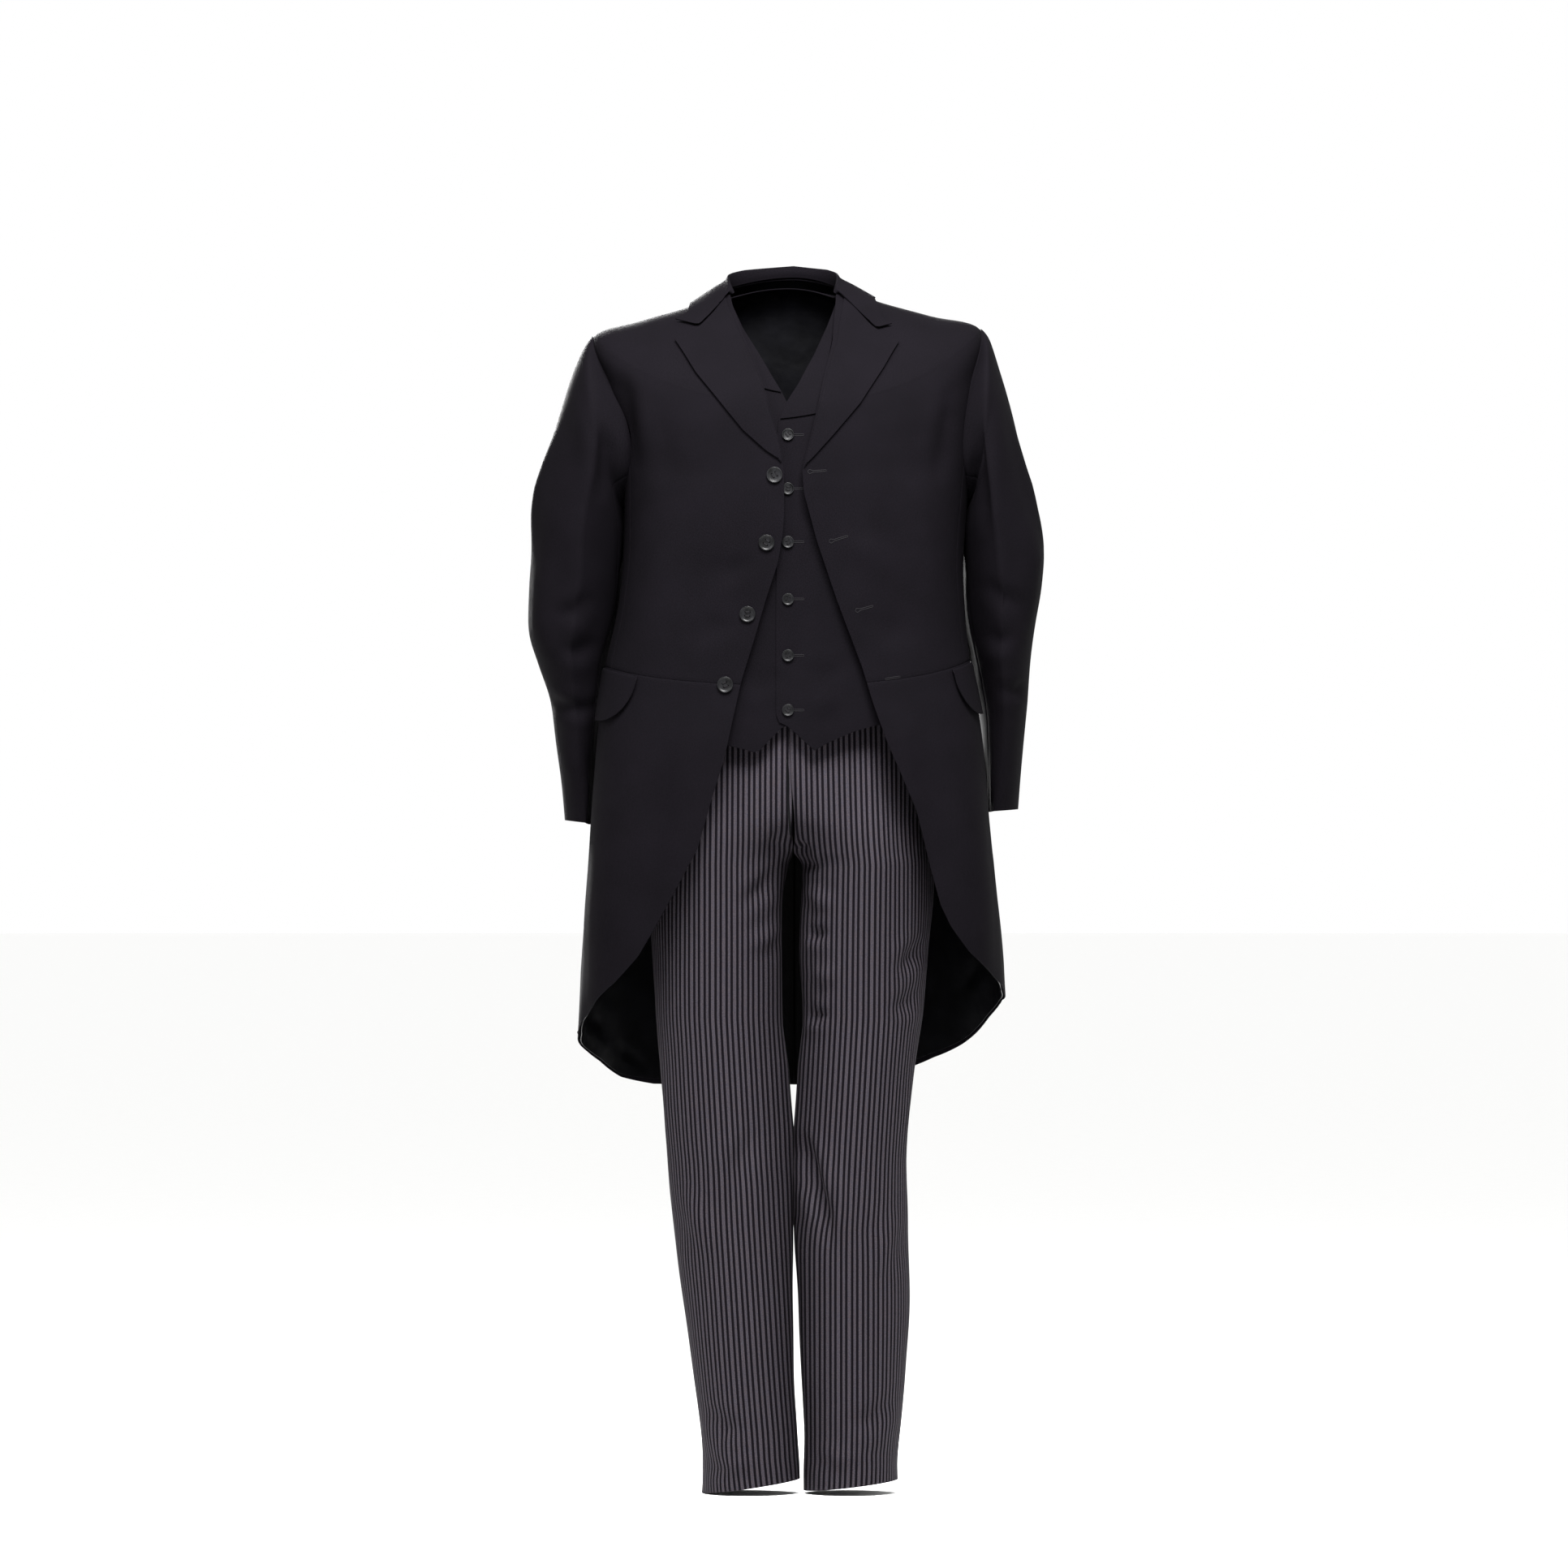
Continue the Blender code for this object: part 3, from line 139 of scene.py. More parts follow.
# The neck's middle in depth (mm), then how far the stand's foot rises and where it lies at the ends
COLLAR_CENTRE_DEPTH = 30
COLLAR_FOOT_RISE, COLLAR_END_IN, COLLAR_END_DROP, COLLAR_BULGE = 2 * MM, 5 * MM, 1 * MM, 1.5 * MM

# Sleeve rings on each side: x and z of the outer end, then of the inner end
SLEEVE_ENDS = {
    LEFT: ((-259, -64, -212, -264), (-274, -100, -210, -282), (-292, -156, -203, -308),
           (-311, -212, -199, -334), (-322, -262, -198, -358), (-324, -315, -200, -388),
           (-328, -370, -208, -424), (-328, -420, -220, -462), (-316, -462, -230, -498),
           (-301, -508, -236, -534), (-294, -560, -238, -576), (-287, -612, -234, -620),
           (-283, -660, -230, -666)),
    RIGHT: ((257, -52, 235, -262), (270, -92, 229, -280), (286, -148, 221, -305), (301, -208, 215, -332),
            (314, -258, 213, -356), (325, -312, 214, -388), (323, -360, 219, -420), (315, -410, 227, -452),
            (309, -458, 237, -486), (305, -510, 245, -524), (301, -556, 248, -562), (297, -604, 246, -606),
            (294, -646, 242, -650)),
}
# The same rings from front to back, and how far the inner end is set back
SLEEVE_DEPTHS = ((-84, 92, 14), (-86, 95, 25), (-84, 97, 45), (-80, 98, 58), (-74, 99, 62), (-66, 100, 60),
                 (-57, 103, 52), (-46, 108, 42), (-34, 114, 30), (-20, 122, 16), (-8, 130, 6), (4, 136, 0),
                 (14, 141, 0))
# Segments round a sleeve, and those at which its two seams lie
SLEEVE_SEGMENTS = 16
FORE_SEAM, HIND_SEAM = 6, 12
SLEEVE_SEAM_GAP = 0.1 * MM
# Least gap between sleeve and body: below a height it is the chest's, and it widens to the flap's
CHEST_GAP, CHEST_GAP_FROM = 5 * MM, -262 * MM
FLAP_GAP, FLAP_GAP_FROM, FLAP_GAP_WAY = 10 * MM, -400 * MM, 50 * MM
CLEARANCE_LEVELS = (6.5, 13.0)

# Hip flaps: where they start on each side, how far they run back and how deep they are
FLAP_START_X = {LEFT: -188, RIGHT: 207}
FLAP_END_TURN = -24
FLAP_DEPTH = 66
FLAP_LIFT_TOP, FLAP_LIFT_EDGE = 2.8 * MM, 5.5 * MM

# Tail lining: set back from the front edge, the vent, the waist seam and the hem, and set inwards
LINING_SET_BACK = {"start": 7 * MM, "end": 5 * MM, "top": 12 * MM, "bottom": 7 * MM}
LINING_INSET = 3.3 * MM

# Rings of the waistcoat, from the neck down to the hem
VEST_MIDDLE = 4
VEST_RINGS = (
    (5, 5, -40, 18, -70, 58, -34, 30, 70, 0.00),
    (-6, -1, -80, 4, -115, 105, -66, 28, 91, 0.00),
    (-26, -20, -112, -31, -158, 152, -92, 22, 103, 0.02),
    (-95, -90, -150, -100, -180, 186, -110, 12, 106, 0.04),
    (-175, -172, -200, -175, -186, 196, -117, 6, 109, 0.04),
    (-265, -265, -268, -265, -190, 204, -121, 2, 108, 0.04),
    (-355, -355, -358, -355, -190, 203, -121, -2, 99, 0.04),
    (-450, -450, -452, -450, -196, 202, -120, -5, 92, 0.04),
    (-570, -570, -572, -570, -206, 212, -126, -12, 112, 0.04),
    (-600, -600, -602, -600, -209, 215, -128, -14, 116, 0.04),
)
VEST_STRAP, VEST_UNDERARM = 2.0, 5.0
VEST_ARMHOLE_TURN = {"front": 40.0, "back": -38.0}
# Front edges of the waistcoat as drawn from the front: height, then x
VEST_EDGE = {
    LEFT: ((19, -76), (-6, -70), (-38, -56), (-70, -36), (-96, -21), (-117, -8), (-135, 1), (-149, 10),
           (-165, 18), (-525, 19), (-545, 19)),
    RIGHT: ((19, 68), (-12, 60), (-38, 50), (-75, 33), (-111, 13), (-133, -1), (-152, -10),
            (-164, -12), (-397, -14), (-521, -14), (-535, -8), (-539, -3)),
}
# Waistcoat hem as drawn from the front: x, then height
VEST_HEM = {
    LEFT: ((-210, -532), (-150, -545), (-73, -566), (-54, -570), (-38, -576), (-24, -560), (-3, -539),
           (30, -539)),
    RIGHT: ((-20, -533), (-3, -539), (6, -546), (20, -559), (34, -572), (49, -563), (65, -556), (84, -548),
            (112, -540), (216, -532)),
}
VEST_BACK_HEM, VEST_EDGE_FOOT, VEST_HEM_LEVELS = -530, -530, (5, 9)
LEAST_STRAP_TURN = 4.0
VEST_LAP = 1.1 * MM
VEST_LAPEL_LEVELS = {LEFT: (0.15, 2.25), RIGHT: (0.15, 3.1)}
VEST_LAPEL_WIDTH = {LEFT: (20, 40), RIGHT: (20, 46)}
VEST_LAPEL_LIFT = {LEFT: 0.1 * MM, RIGHT: 2.0 * MM}

# Trouser rings on each side: heights and x of the outer and inner ends
TROUSER_COLUMNS = ("z_outer", "z_inner", "x_outer", "x_inner")
TROUSER_RINGS = {
    LEFT: ((-490, -490, -163, 2), (-530, -530, -170, 2), (-600, -600, -177, 4), (-650, -650, -179, 7),
           (-682, -682, -179, 7), (-700, -700, -179, 7), (-718, -718, -178, 1), (-765, -760, -176, -6),
           (-830, -830, -171, -7), (-910, -910, -166, -6), (-995, -995, -160, -2), (-1080, -1080, -153, 3),
           (-1175, -1175, -144, 7), (-1267, -1267, -132, 7), (-1360, -1360, -119, 8),
           (-1435, -1430, -109, 12), (-1482, -1472, -107, 15), (-1513, -1495, -108, 16)),
    RIGHT: ((-490, -490, 170, 2), (-530, -530, 178, 2), (-600, -600, 185, 4), (-650, -650, 187, 8),
            (-682, -682, 187, 9), (-700, -700, 187, 9), (-718, -718, 187, 19), (-765, -760, 185, 18),
            (-830, -830, 178, 16), (-910, -910, 171, 20), (-995, -995, 160, 17), (-1080, -1080, 152, 13),
            (-1175, -1175, 153, 9), (-1275, -1270, 155, 14), (-1355, -1360, 150, 18),
            (-1425, -1435, 144, 22), (-1468, -1482, 140, 21), (-1496, -1510, 140, 21)),
}
# The same rings from front to back, and how far they sweep round towards the inside leg
TROUSER_DEPTH_COLUMNS = ("y_mid", "y_front", "y_back", "sweep_front", "sweep_back")
TROUSER_DEPTHS = ((0, -104, 90.5, 90, 90), (0, -108, 102.5, 90, 90), (0, -110, 112, 90, 90),
                  (0, -108, 114, 106, 100), (0, -106, 112, 138, 126), (0, -105, 110, 163, 155),
                  (0, -104, 108, 180, 180), (1, -100, 105, 180, 180), (2, -94, 100, 180, 180),
                  (3, -88, 95, 180, 180), (4, -84, 91, 180, 180), (4, -81, 88, 180, 180),
                  (4, -79, 86, 180, 180), (4, -77, 85, 180, 180), (4, -76, 84, 180, 180),
                  (4, -76, 83, 180, 180), (4, -77, 83, 180, 180), (4, -78, 83, 180, 180))
TROUSER_ROW_LENGTH = 1.03
WAISTBAND_HEIGHT, WAISTBAND_ROWS = 36, 8
# Fly facing: its shares across the right front and its levels, then what is cut off and its inset
FLY_SHARES, FLY_LEVELS = (2 / 3, 5 / 6, 1.0), (0, 1, 2, 3)
FLY_TOP_GAP, FLY_WIDTH_CUT, FLY_INSET = 12 * MM, 20 * MM, 2.8 * MM

# Buttons: places as drawn from the front, sizes, and the tilt comes from the cloth
COAT_BUTTONS = ((-16, -225), (-26, -310), (-50, -400), (-78, -489))
VEST_BUTTONS = ((1, -174), (1, -242), (1, -309), (1, -381), (1, -452), (1, -521))
BACK_BUTTON_TURN, BACK_BUTTON_LEVEL = -66.0, 9.85
COAT_BUTTON = {"radius": 10 * MM, "height": 3.2 * MM, "rim": 2.4 * MM, "dish": 1.0 * MM}
VEST_BUTTON = {"radius": 7.5 * MM, "height": 2.8 * MM, "rim": 1.8 * MM, "dish": 0.8 * MM}

# Levels of the coat's and waistcoat's rows: first, last and the length between them in mm
UPPER_STRETCHES = ((0.0, 3.0, 110), (3.0, 6.03, 165), (6.03, 10.0, 262))
SKIRT_STRETCHES = ((10.0, 15.0, 470),)
VEST_STRETCHES = ((0.0, 2.0, 75), (2.0, 5.0, 230))
# Grain line of each leg: level, then x
TROUSER_GRAIN = {LEFT: ((0, -82), (6, -84), (9, -84), (12, -70), (15, -52), (17, -46)),
                 RIGHT: ((0, 90), (6, 98), (9, 96), (12, 82), (15, 82), (17, 80))}
# Searches on a form: halvings, rounds, steps in turn and level, strides and the last turns
HALVINGS, SEARCH_ROUNDS = 40, 30
TURN_STEP, TURN_NUDGE, LEVEL_STEP = 0.03, 0.01, 0.001
TURN_STRIDE, LEVEL_STRIDE = 6, 0.4
EDGE_TURN_END, SEARCH_TURN_END = 100.0, 110


def drawn(**views):
    """Folds as pairs of view and path, from the paths drawn in each view."""
    return tuple((view, path) for view, paths in views.items() for path in paths)


# Folds: each path's points hold x, or y from the sides, then height, half width and depth in mm; a depth
# below 0 is a trough and one above 0 a ridge
# Coat fronts and side bodies: at the armholes, below the chest and from the buttons
FRONT_FOLDS = {
    LEFT: drawn(
        front=(((-207, -92, 9, 0), (-204, -128, 11, -2.6), (-199, -168, 12, -3.0), (-190, -222, 10, 0)),
               ((-184, -120, 12, 0), (-182, -160, 14, 2.0), (-176, -215, 15, 1.2), (-170, -262, 12, 0)),
               ((-150, -255, 18, 0), (-163, -335, 22, 2.2), (-176, -410, 20, 1.4), (-186, -468, 16, 0)),
               ((-32, -330, 8, 0), (-72, -345, 15, -1.6), (-120, -350, 18, 0)),
               ((-56, -410, 8, 0), (-92, -418, 14, -1.4), (-134, -436, 15, 0)),
               ((-110, -60, 14, 0), (-150, -78, 16, 1.2), (-190, -84, 14, 0)))),
    RIGHT: drawn(
        front=(((205, -110, 9, 0), (203, -150, 11, -2.4), (196, -196, 12, -2.2), (188, -240, 10, 0)),
               ((158, -230, 16, 0), (168, -300, 22, 2.0), (180, -372, 20, 1.8), (196, -440, 14, 0)),
               ((60, -300, 10, 0), (98, -322, 16, 1.5), (134, -352, 18, 0)),
               ((96, -408, 9, 0), (130, -420, 15, -1.5), (172, -426, 16, 0)),
               ((118, -66, 14, 0), (160, -80, 16, 1.2), (198, -88, 14, 0)))),
}
# Coat backs and the side bodies' rear: armholes, shoulder blades, waist and tails
BACK_FOLDS = {
    LEFT: drawn(
        back=(((-196, -112, 12, 0), (-190, -170, 14, -2.8), (-180, -232, 14, -2.0), (-172, -282, 12, 0)),
              ((-128, -96, 20, 0), (-122, -180, 24, 2.2), (-112, -270, 22, 1.4), (-104, -340, 16, 0)),
              ((-150, -398, 8, 0), (-98, -412, 12, -2.4), (-44, -408, 10, 0)),
              ((-120, -436, 8, 0), (-70, -444, 11, 1.8), (-24, -438, 9, 0)),
              ((-60, -560, 16, 0), (-68, -690, 22, -0.8), (-78, -840, 26, -0.8), (-84, -960, 22, -0.5)),
              ((-116, -620, 14, 0), (-128, -760, 20, 2.4), (-138, -900, 24, 3.2))),
        left=(((46, -255, 12, 0), (58, -330, 16, -2.2), (52, -405, 14, 0)),)),
    RIGHT: drawn(
        back=(((202, -118, 12, 0), (194, -178, 14, -2.4), (184, -246, 14, -2.2), (176, -290, 12, 0)),
              ((134, -104, 20, 0), (130, -196, 24, 2.4), (118, -288, 22, 1.2), (112, -352, 16, 0)),
              ((30, -392, 8, 0), (84, -402, 12, -2.2), (150, -392, 10, 0)),
              ((46, -430, 8, 0), (96, -436, 11, 1.6), (146, -426, 9, 0)),
              ((66, -550, 16, 0), (76, -700, 22, -0.9), (84, -850, 26, -0.8), (90, -950, 20, -0.5)),
              ((128, -600, 14, 0), (136, -740, 20, 2.6), (150, -880, 24, 2.8))),
        right=(((40, -262, 12, 0), (54, -340, 16, -2.4), (50, -410, 14, 0)),)),
}
# Skirts and flaps
SKIRT_FOLDS = {
    LEFT: drawn(
        front=(((-196, -540, 16, 0), (-208, -650, 22, 2.6), (-220, -770, 26, 3.6), (-232, -880, 22, 2.4)),
               ((-150, -560, 16, 0), (-162, -650, 20, -2.4), (-176, -750, 20, -2.0), (-192, -820, 14, 0)),
               ((-96, -520, 12, 0), (-122, -580, 16, 1.4), (-142, -650, 16, 0))),
        left=(((-40, -560, 16, 0), (-44, -700, 22, -1.1), (-52, -840, 26, -1.0), (-56, -930, 20, -0.6)),
              ((30, -580, 16, 0), (40, -720, 24, 3.0), (46, -850, 28, 4.0), (50, -950, 22, 2.6)))),
    RIGHT: drawn(
        front=(((206, -560, 16, 0), (218, -660, 22, 2.4), (232, -760, 24, 3.2), (244, -840, 20, 1.8)),
               ((162, -540, 16, 0), (176, -630, 20, -2.2), (190, -720, 20, -2.4), (202, -780, 14, 0)),
               ((120, -505, 12, 0), (142, -556, 16, 1.6), (158, -610, 16, 0))),
        right=(((-46, -550, 16, 0), (-50, -690, 22, -1.2), (-58, -820, 26, -1.0), (-60, -890, 20, -0.6)),
               ((24, -570, 16, 0), (34, -710, 24, 3.2), (44, -840, 28, 3.6), (50, -930, 22, 2.2)))),
}
# Slack at the tail linings' lower edges
LINING_FOLDS = {
    LEFT: drawn(
        back=(((-248, -880, 6, 0), (-241, -917, 8, 1.6), (-228, -948, 6, 0)),
              ((-214, -940, 6, 0), (-206, -956, 7, 1.4), (-177, -980, 6, 0)))),
    RIGHT: drawn(
        back=(((250, -820, 6, 0), (238, -856, 8, 1.5), (222, -884, 6, 0)),)),
}
# Sleeves: seen from the front, the outside, the back and the body's side
SLEEVE_FOLDS = {
    LEFT: drawn(
        front=(((-300, -300, 12, 0), (-309, -360, 13, 2.6), (-311, -412, 13, 2.8), (-303, -468, 12, 0)),
               ((-231, -158, 8, 0), (-228, -190, 10, -3.4), (-230, -226, 10, -2.6), (-236, -262, 8, 0)),
               ((-262, -118, 10, 0), (-256, -160, 12, 2.0), (-254, -214, 12, 1.2), (-260, -262, 10, 0)),
               ((-322, -492, 7, 0), (-297, -512, 9, -3.4), (-262, -520, 9, -2.4), (-236, -512, 7, 0)),
               ((-246, -372, 8, 0), (-272, -396, 11, -3.2), (-296, -402, 9, 0)),
               ((-240, -430, 8, 0), (-266, -446, 11, -2.8), (-292, -440, 9, 0)),
               ((-288, -560, 10, 0), (-274, -590, 12, 1.6), (-262, -628, 10, 0))),
        left=(((60, -360, 10, 0), (88, -392, 14, -2.8), (112, -398, 12, 0)),
              ((-30, -150, 14, 0), (-10, -240, 18, 2.2), (10, -330, 16, 0))),
        back=(((-318, -352, 8, 0), (-290, -372, 12, -3.0), (-258, -376, 9, 0)),
              ((-316, -446, 8, 0), (-286, -452, 11, 2.4), (-256, -440, 9, 0)),
              ((-262, -120, 12, 0), (-276, -200, 16, -2.4), (-288, -280, 14, 0))),
        right=(((22, -190, 36, 0), (24, -232, 46, 3.7), (26, -284, 46, 3.7), (32, -340, 36, 0)),)),
    RIGHT: drawn(
        front=(((302, -268, 12, 0), (312, -330, 13, 2.6), (308, -392, 13, 2.2), (296, -450, 12, 0)),
               ((246, -170, 8, 0), (242, -212, 10, -3.6), (246, -262, 10, -2.8), (250, -300, 8, 0)),
               ((262, -110, 10, 0), (266, -170, 12, 1.8), (276, -232, 12, 0)),
               ((316, -478, 7, 0), (292, -496, 9, -3.0), (262, -494, 9, 0)),
               ((250, -356, 8, 0), (276, -380, 11, -3.0), (302, -392, 9, 0)),
               ((250, -420, 8, 0), (270, -432, 11, -2.6), (296, -426, 9, 0))),
        right=(((56, -352, 10, 0), (86, -380, 14, -2.6), (110, -388, 12, 0)),
               ((-34, -140, 14, 0), (-12, -236, 18, 2.4), (8, -320, 16, 0))),
        back=(((314, -346, 8, 0), (288, -364, 12, -3.0), (262, -366, 9, 0)),
              ((310, -436, 8, 0), (284, -446, 11, 2.2), (262, -436, 9, 0)),
              ((262, -116, 12, 0), (272, -196, 16, -2.2), (286, -270, 14, 0))),
        left=(((22, -190, 36, 0), (24, -232, 46, 4.7), (26, -284, 46, 4.7), (32, -340, 36, 0)),)),
}
# Trousers: the crotch, knees and hems, and where the knees nearly meet
TROUSER_FOLDS = {
    LEFT: drawn(
        right=(((0, -920, 30, 0), (0, -970, 36, 2.6), (2, -1060, 38, 3.8), (2, -1120, 36, 2.2),
                (2, -1180, 30, 0)),),
        front=(((2, -548, 6, 0), (2, -575, 7, -2.2), (3, -640, 7, -2.6), (6, -690, 7, 0)),
               ((-8, -668, 6, 0), (-16, -690, 8, -3.2), (-30, -712, 8, 0)),
               ((-14, -716, 7, 0), (-34, -748, 10, -3.8), (-60, -772, 9, 0)),
               ((-10, -790, 8, 0), (-30, -810, 10, 2.9), (-56, -820, 9, 0)),
               ((-96, -560, 14, 0), (-104, -660, 18, 2.9), (-106, -760, 18, 1.6), (-102, -850, 14, 0)),
               ((-40, -1050, 10, 0), (-62, -1096, 14, -4.2), (-70, -1150, 14, -2.9), (-64, -1210, 10, 0)),
               ((-128, -1120, 10, 0), (-112, -1166, 13, 3.2), (-100, -1214, 10, 0)),
               ((-100, -1400, 10, 0), (-76, -1428, 13, -3.8), (-44, -1432, 11, 0)),
               ((-92, -1462, 9, 0), (-64, -1474, 11, 2.9), (-32, -1466, 9, 0))),
        back=(((-120, -690, 12, 0), (-80, -716, 16, -5.1), (-34, -706, 12, 0)),
              ((-110, -1080, 10, 0), (-76, -1102, 14, -4.8), (-36, -1092, 11, 0)),
              ((-108, -1130, 10, 0), (-72, -1142, 12, 3.5), (-40, -1128, 10, 0)),
              ((-86, -800, 14, 0), (-90, -920, 18, 3.2), (-82, -1030, 14, 0))),
        left=(((10, -900, 12, 0), (6, -1020, 16, -3.5), (14, -1140, 12, 0)),)),
    RIGHT: drawn(
        left=(((0, -920, 30, 0), (0, -970, 36, 2.4), (2, -1060, 38, 3.4), (2, -1120, 36, 2.0),
               (2, -1180, 30, 0)),),
        front=(((2, -548, 6, 0), (2, -575, 7, -2.2), (3, -640, 7, -2.6), (6, -690, 7, 0)),
               ((14, -684, 5, 0), (20, -694, 6, -3.8), (32, -708, 6, 0)),
               ((18, -704, 5, 0), (28, -716, 7, -3.5), (44, -724, 6, 0)),
               ((22, -742, 7, 0), (42, -762, 10, 2.9), (64, -770, 9, 0)),
               ((24, -796, 6, 0), (38, -804, 8, -4.8), (56, -800, 7, 0)),
               ((26, -898, 6, 0), (38, -907, 8, -4.5), (58, -904, 7, 0)),
               ((30, -850, 8, 0), (48, -856, 10, 2.9), (66, -850, 8, 0)),
               ((172, -806, 8, 0), (158, -832, 11, -4.5), (138, -858, 9, 0)),
               ((166, -868, 8, 0), (150, -892, 11, -3.5), (128, -906, 9, 0)),
               ((20, -1052, 6, 0), (24, -1080, 9, -5.4), (36, -1124, 10, -6.1), (49, -1158, 10, -5.1),
                (54, -1206, 8, 0)),
               ((44, -1070, 8, 0), (58, -1120, 12, 3.8), (72, -1176, 12, 2.2), (76, -1226, 10, 0)),
               ((104, -560, 14, 0), (112, -660, 18, 2.9), (112, -770, 18, 1.6), (106, -860, 14, 0)),
               ((140, -1150, 10, 0), (124, -1192, 13, 2.9), (116, -1240, 10, 0)),
               ((132, -1392, 10, 0), (104, -1418, 13, -3.8), (70, -1424, 11, 0)),
               ((38, -1450, 9, 0), (66, -1466, 11, 2.9), (98, -1462, 9, 0))),
        back=(((126, -686, 12, 0), (84, -712, 16, -4.8), (40, -702, 12, 0)),
              ((128, -1086, 10, 0), (92, -1106, 14, -4.5), (50, -1098, 11, 0)),
              ((130, -1136, 10, 0), (96, -1148, 12, 3.5), (58, -1134, 10, 0)),
              ((92, -806, 14, 0), (98, -926, 18, 3.2), (94, -1036, 14, 0))),
        right=(((8, -920, 12, 0), (4, -1030, 16, -3.2), (12, -1150, 12, 0)),)),
}
# Waistcoat: slack between the buttons and at the hem
VEST_FOLDS = drawn(front=(
    ((-60, -506, 8, 0), (-36, -511, 11, 1.4), (-16, -512, 8, 0)),
    ((22, -514, 8, 0), (46, -511, 12, 1.8), (76, -503, 9, 0)),
    ((-58, -478, 8, 0), (-24, -484, 10, -1.4), (0, -480, 8, 0)),
    ((14, -470, 8, 0), (48, -476, 10, -1.4), (80, -466, 8, 0)),
    ((16, -270, 7, 0), (36, -282, 9, -1.0), (52, -286, 7, 0))))


def look():
    """The suit's settings."""
    return bpy.context.scene.morning_suit


def steps(length, step):
    """How many steps of about one size cover a length."""
    return max(2, math.ceil(length / step))


def shares(length, finer=1.0):
    """Even shares of the way across a length in metres, about one step of the cloth apart."""
    return np.linspace(0, 1, steps(length, look().cloth_step * finer) + 1)


def between(start, end, share):
    """Rows of values that run from one column of values to another."""
    return start[:, None] + (end - start)[:, None] * share


def unit(vectors):
    """Vectors brought to length one; one without a length stays as it is."""
    return vectors / np.maximum(np.linalg.norm(vectors, axis=-1, keepdims=True), 1e-12)


def run_of(lengths, axis=0):
    """Running total of lengths along an axis, from nought."""
    return np.concatenate([np.zeros_like(lengths.take([0], axis)), np.cumsum(lengths, axis)], axis)


def halved(low, high, holds):
    """Place between two limits, of which a test holds at the low one alone, found by halving."""
    for _ in range(HALVINGS):
        middle = (low + high) / 2
        still = holds(middle)
        low, high = np.where(still, middle, low), np.where(still, high, middle)
    return (low + high) / 2


def table_at(rows, place):
    """Read a two-column table at a place, straight between its rows."""
    rows = sorted(rows)
    return np.interp(place, [row[0] for row in rows], [row[1] for row in rows])


def rings_at(rows, level):
    """Read a table of rings at any level, on a smooth curve through its rows."""
    rows = np.asarray(rows, float)
    level = np.clip(np.asarray(level, float), 0, len(rows) - 1)
    first = np.minimum(level.astype(int), len(rows) - 2)
    part = (level - first)[..., None]
    before, start = rows[np.maximum(first - 1, 0)], rows[first]
    end, after = rows[first + 1], rows[np.minimum(first + 2, len(rows) - 1)]
    slope_start, slope_end = (end - before) / 2, (after - start) / 2
    rise = end - start
    return (start + slope_start * part + (3 * rise - 2 * slope_start - slope_end) * part ** 2
            + (slope_start + slope_end - 2 * rise) * part ** 3)


def named(columns, values):
    """Columns of a table by their names."""
    return dict(zip(columns, np.moveaxis(values, -1, 0)))


def body_point(rings, middle, side, turn, level, hemmed=False):
    """Point of a garment's form: turn is 0 at the side, 90 at the front and -90 at the back."""
    turn, level = np.broadcast_arrays(np.asarray(turn, float), np.asarray(level, float))
    ring = named(RING_COLUMNS, rings_at(rings, level))
    angle, square = np.radians(turn), ring["square"]
    across = (np.cos(angle) - square * np.cos(3 * angle)) / (1 - square)
    along = (np.sin(angle) + square * np.sin(3 * angle)) / (1 - square)
    half = ring["x_right"] - middle if side == RIGHT else middle - ring["x_left"]
    depth = np.where(turn > 0, ring["y_mid"] - ring["y_front"], ring["y_back"] - ring["y_mid"])
    z_side = ring["z_right"] if side == RIGHT else ring["z_left"]
    z_end = np.where(turn > 0, ring["z_front"], ring["z_back"])
    sine = np.abs(np.sin(angle))
    drop = sine ** 2
    if hemmed:
        near_hem = np.clip((level - WAIST) / HEM_DROP_WAY, 0, 1)
        drop = (1 - near_hem) * drop + near_hem * table_at(HEM_DROP[side], sine)
    x = middle + side * half * across
    y = ring["y_mid"] - depth * along
    z = z_side + (z_end - z_side) * drop
    return np.stack([x, y, z], axis=-1) * MM


def coat_surface(side):
    """The coat's form on one side, as a function of turn and level."""
    def surface(turn, level):
        return body_point(COAT_RINGS, COAT_MIDDLE, side, turn, level, hemmed=True)
    return surface


def vest_surface(side):
    """The waistcoat's form on one side, as a function of turn and level."""
    def surface(turn, level):
        return body_point(VEST_RINGS, VEST_MIDDLE, side, turn, level)
    return surface


def on_form(surface, side, turn, level, out=0.0):
    """Points on a form, moved out along its normals by a distance."""
    turn, level, out = np.broadcast_arrays(np.asarray(turn, float), np.asarray(level, float),
                                           np.asarray(out, float))
    along = surface(turn + TURN_STEP, level) - surface(turn - TURN_STEP, level)
    down = surface(turn, level + LEVEL_STEP) - surface(turn, level - LEVEL_STEP)
    return surface(turn, level) + unit(np.cross(along, down)) * np.asarray(out * side)[..., None]


def on_rows(surface, side, turn, level, out=0.0):
    """Points on a form for rows of turns, each row at its own level."""
    return on_form(surface, side, turn, np.broadcast_to(level[:, None], turn.shape), out)


def turn_at_edge(surface, side, level, edge):
    """Turn where a level meets an edge that is drawn from the front."""
    def outside(turn):
        point = surface(turn, level)
        return side * (point[..., 0] - table_at(edge, point[..., 2] / MM) * MM) > 0
    return halved(np.zeros_like(level), np.full_like(level, EDGE_TURN_END), outside)


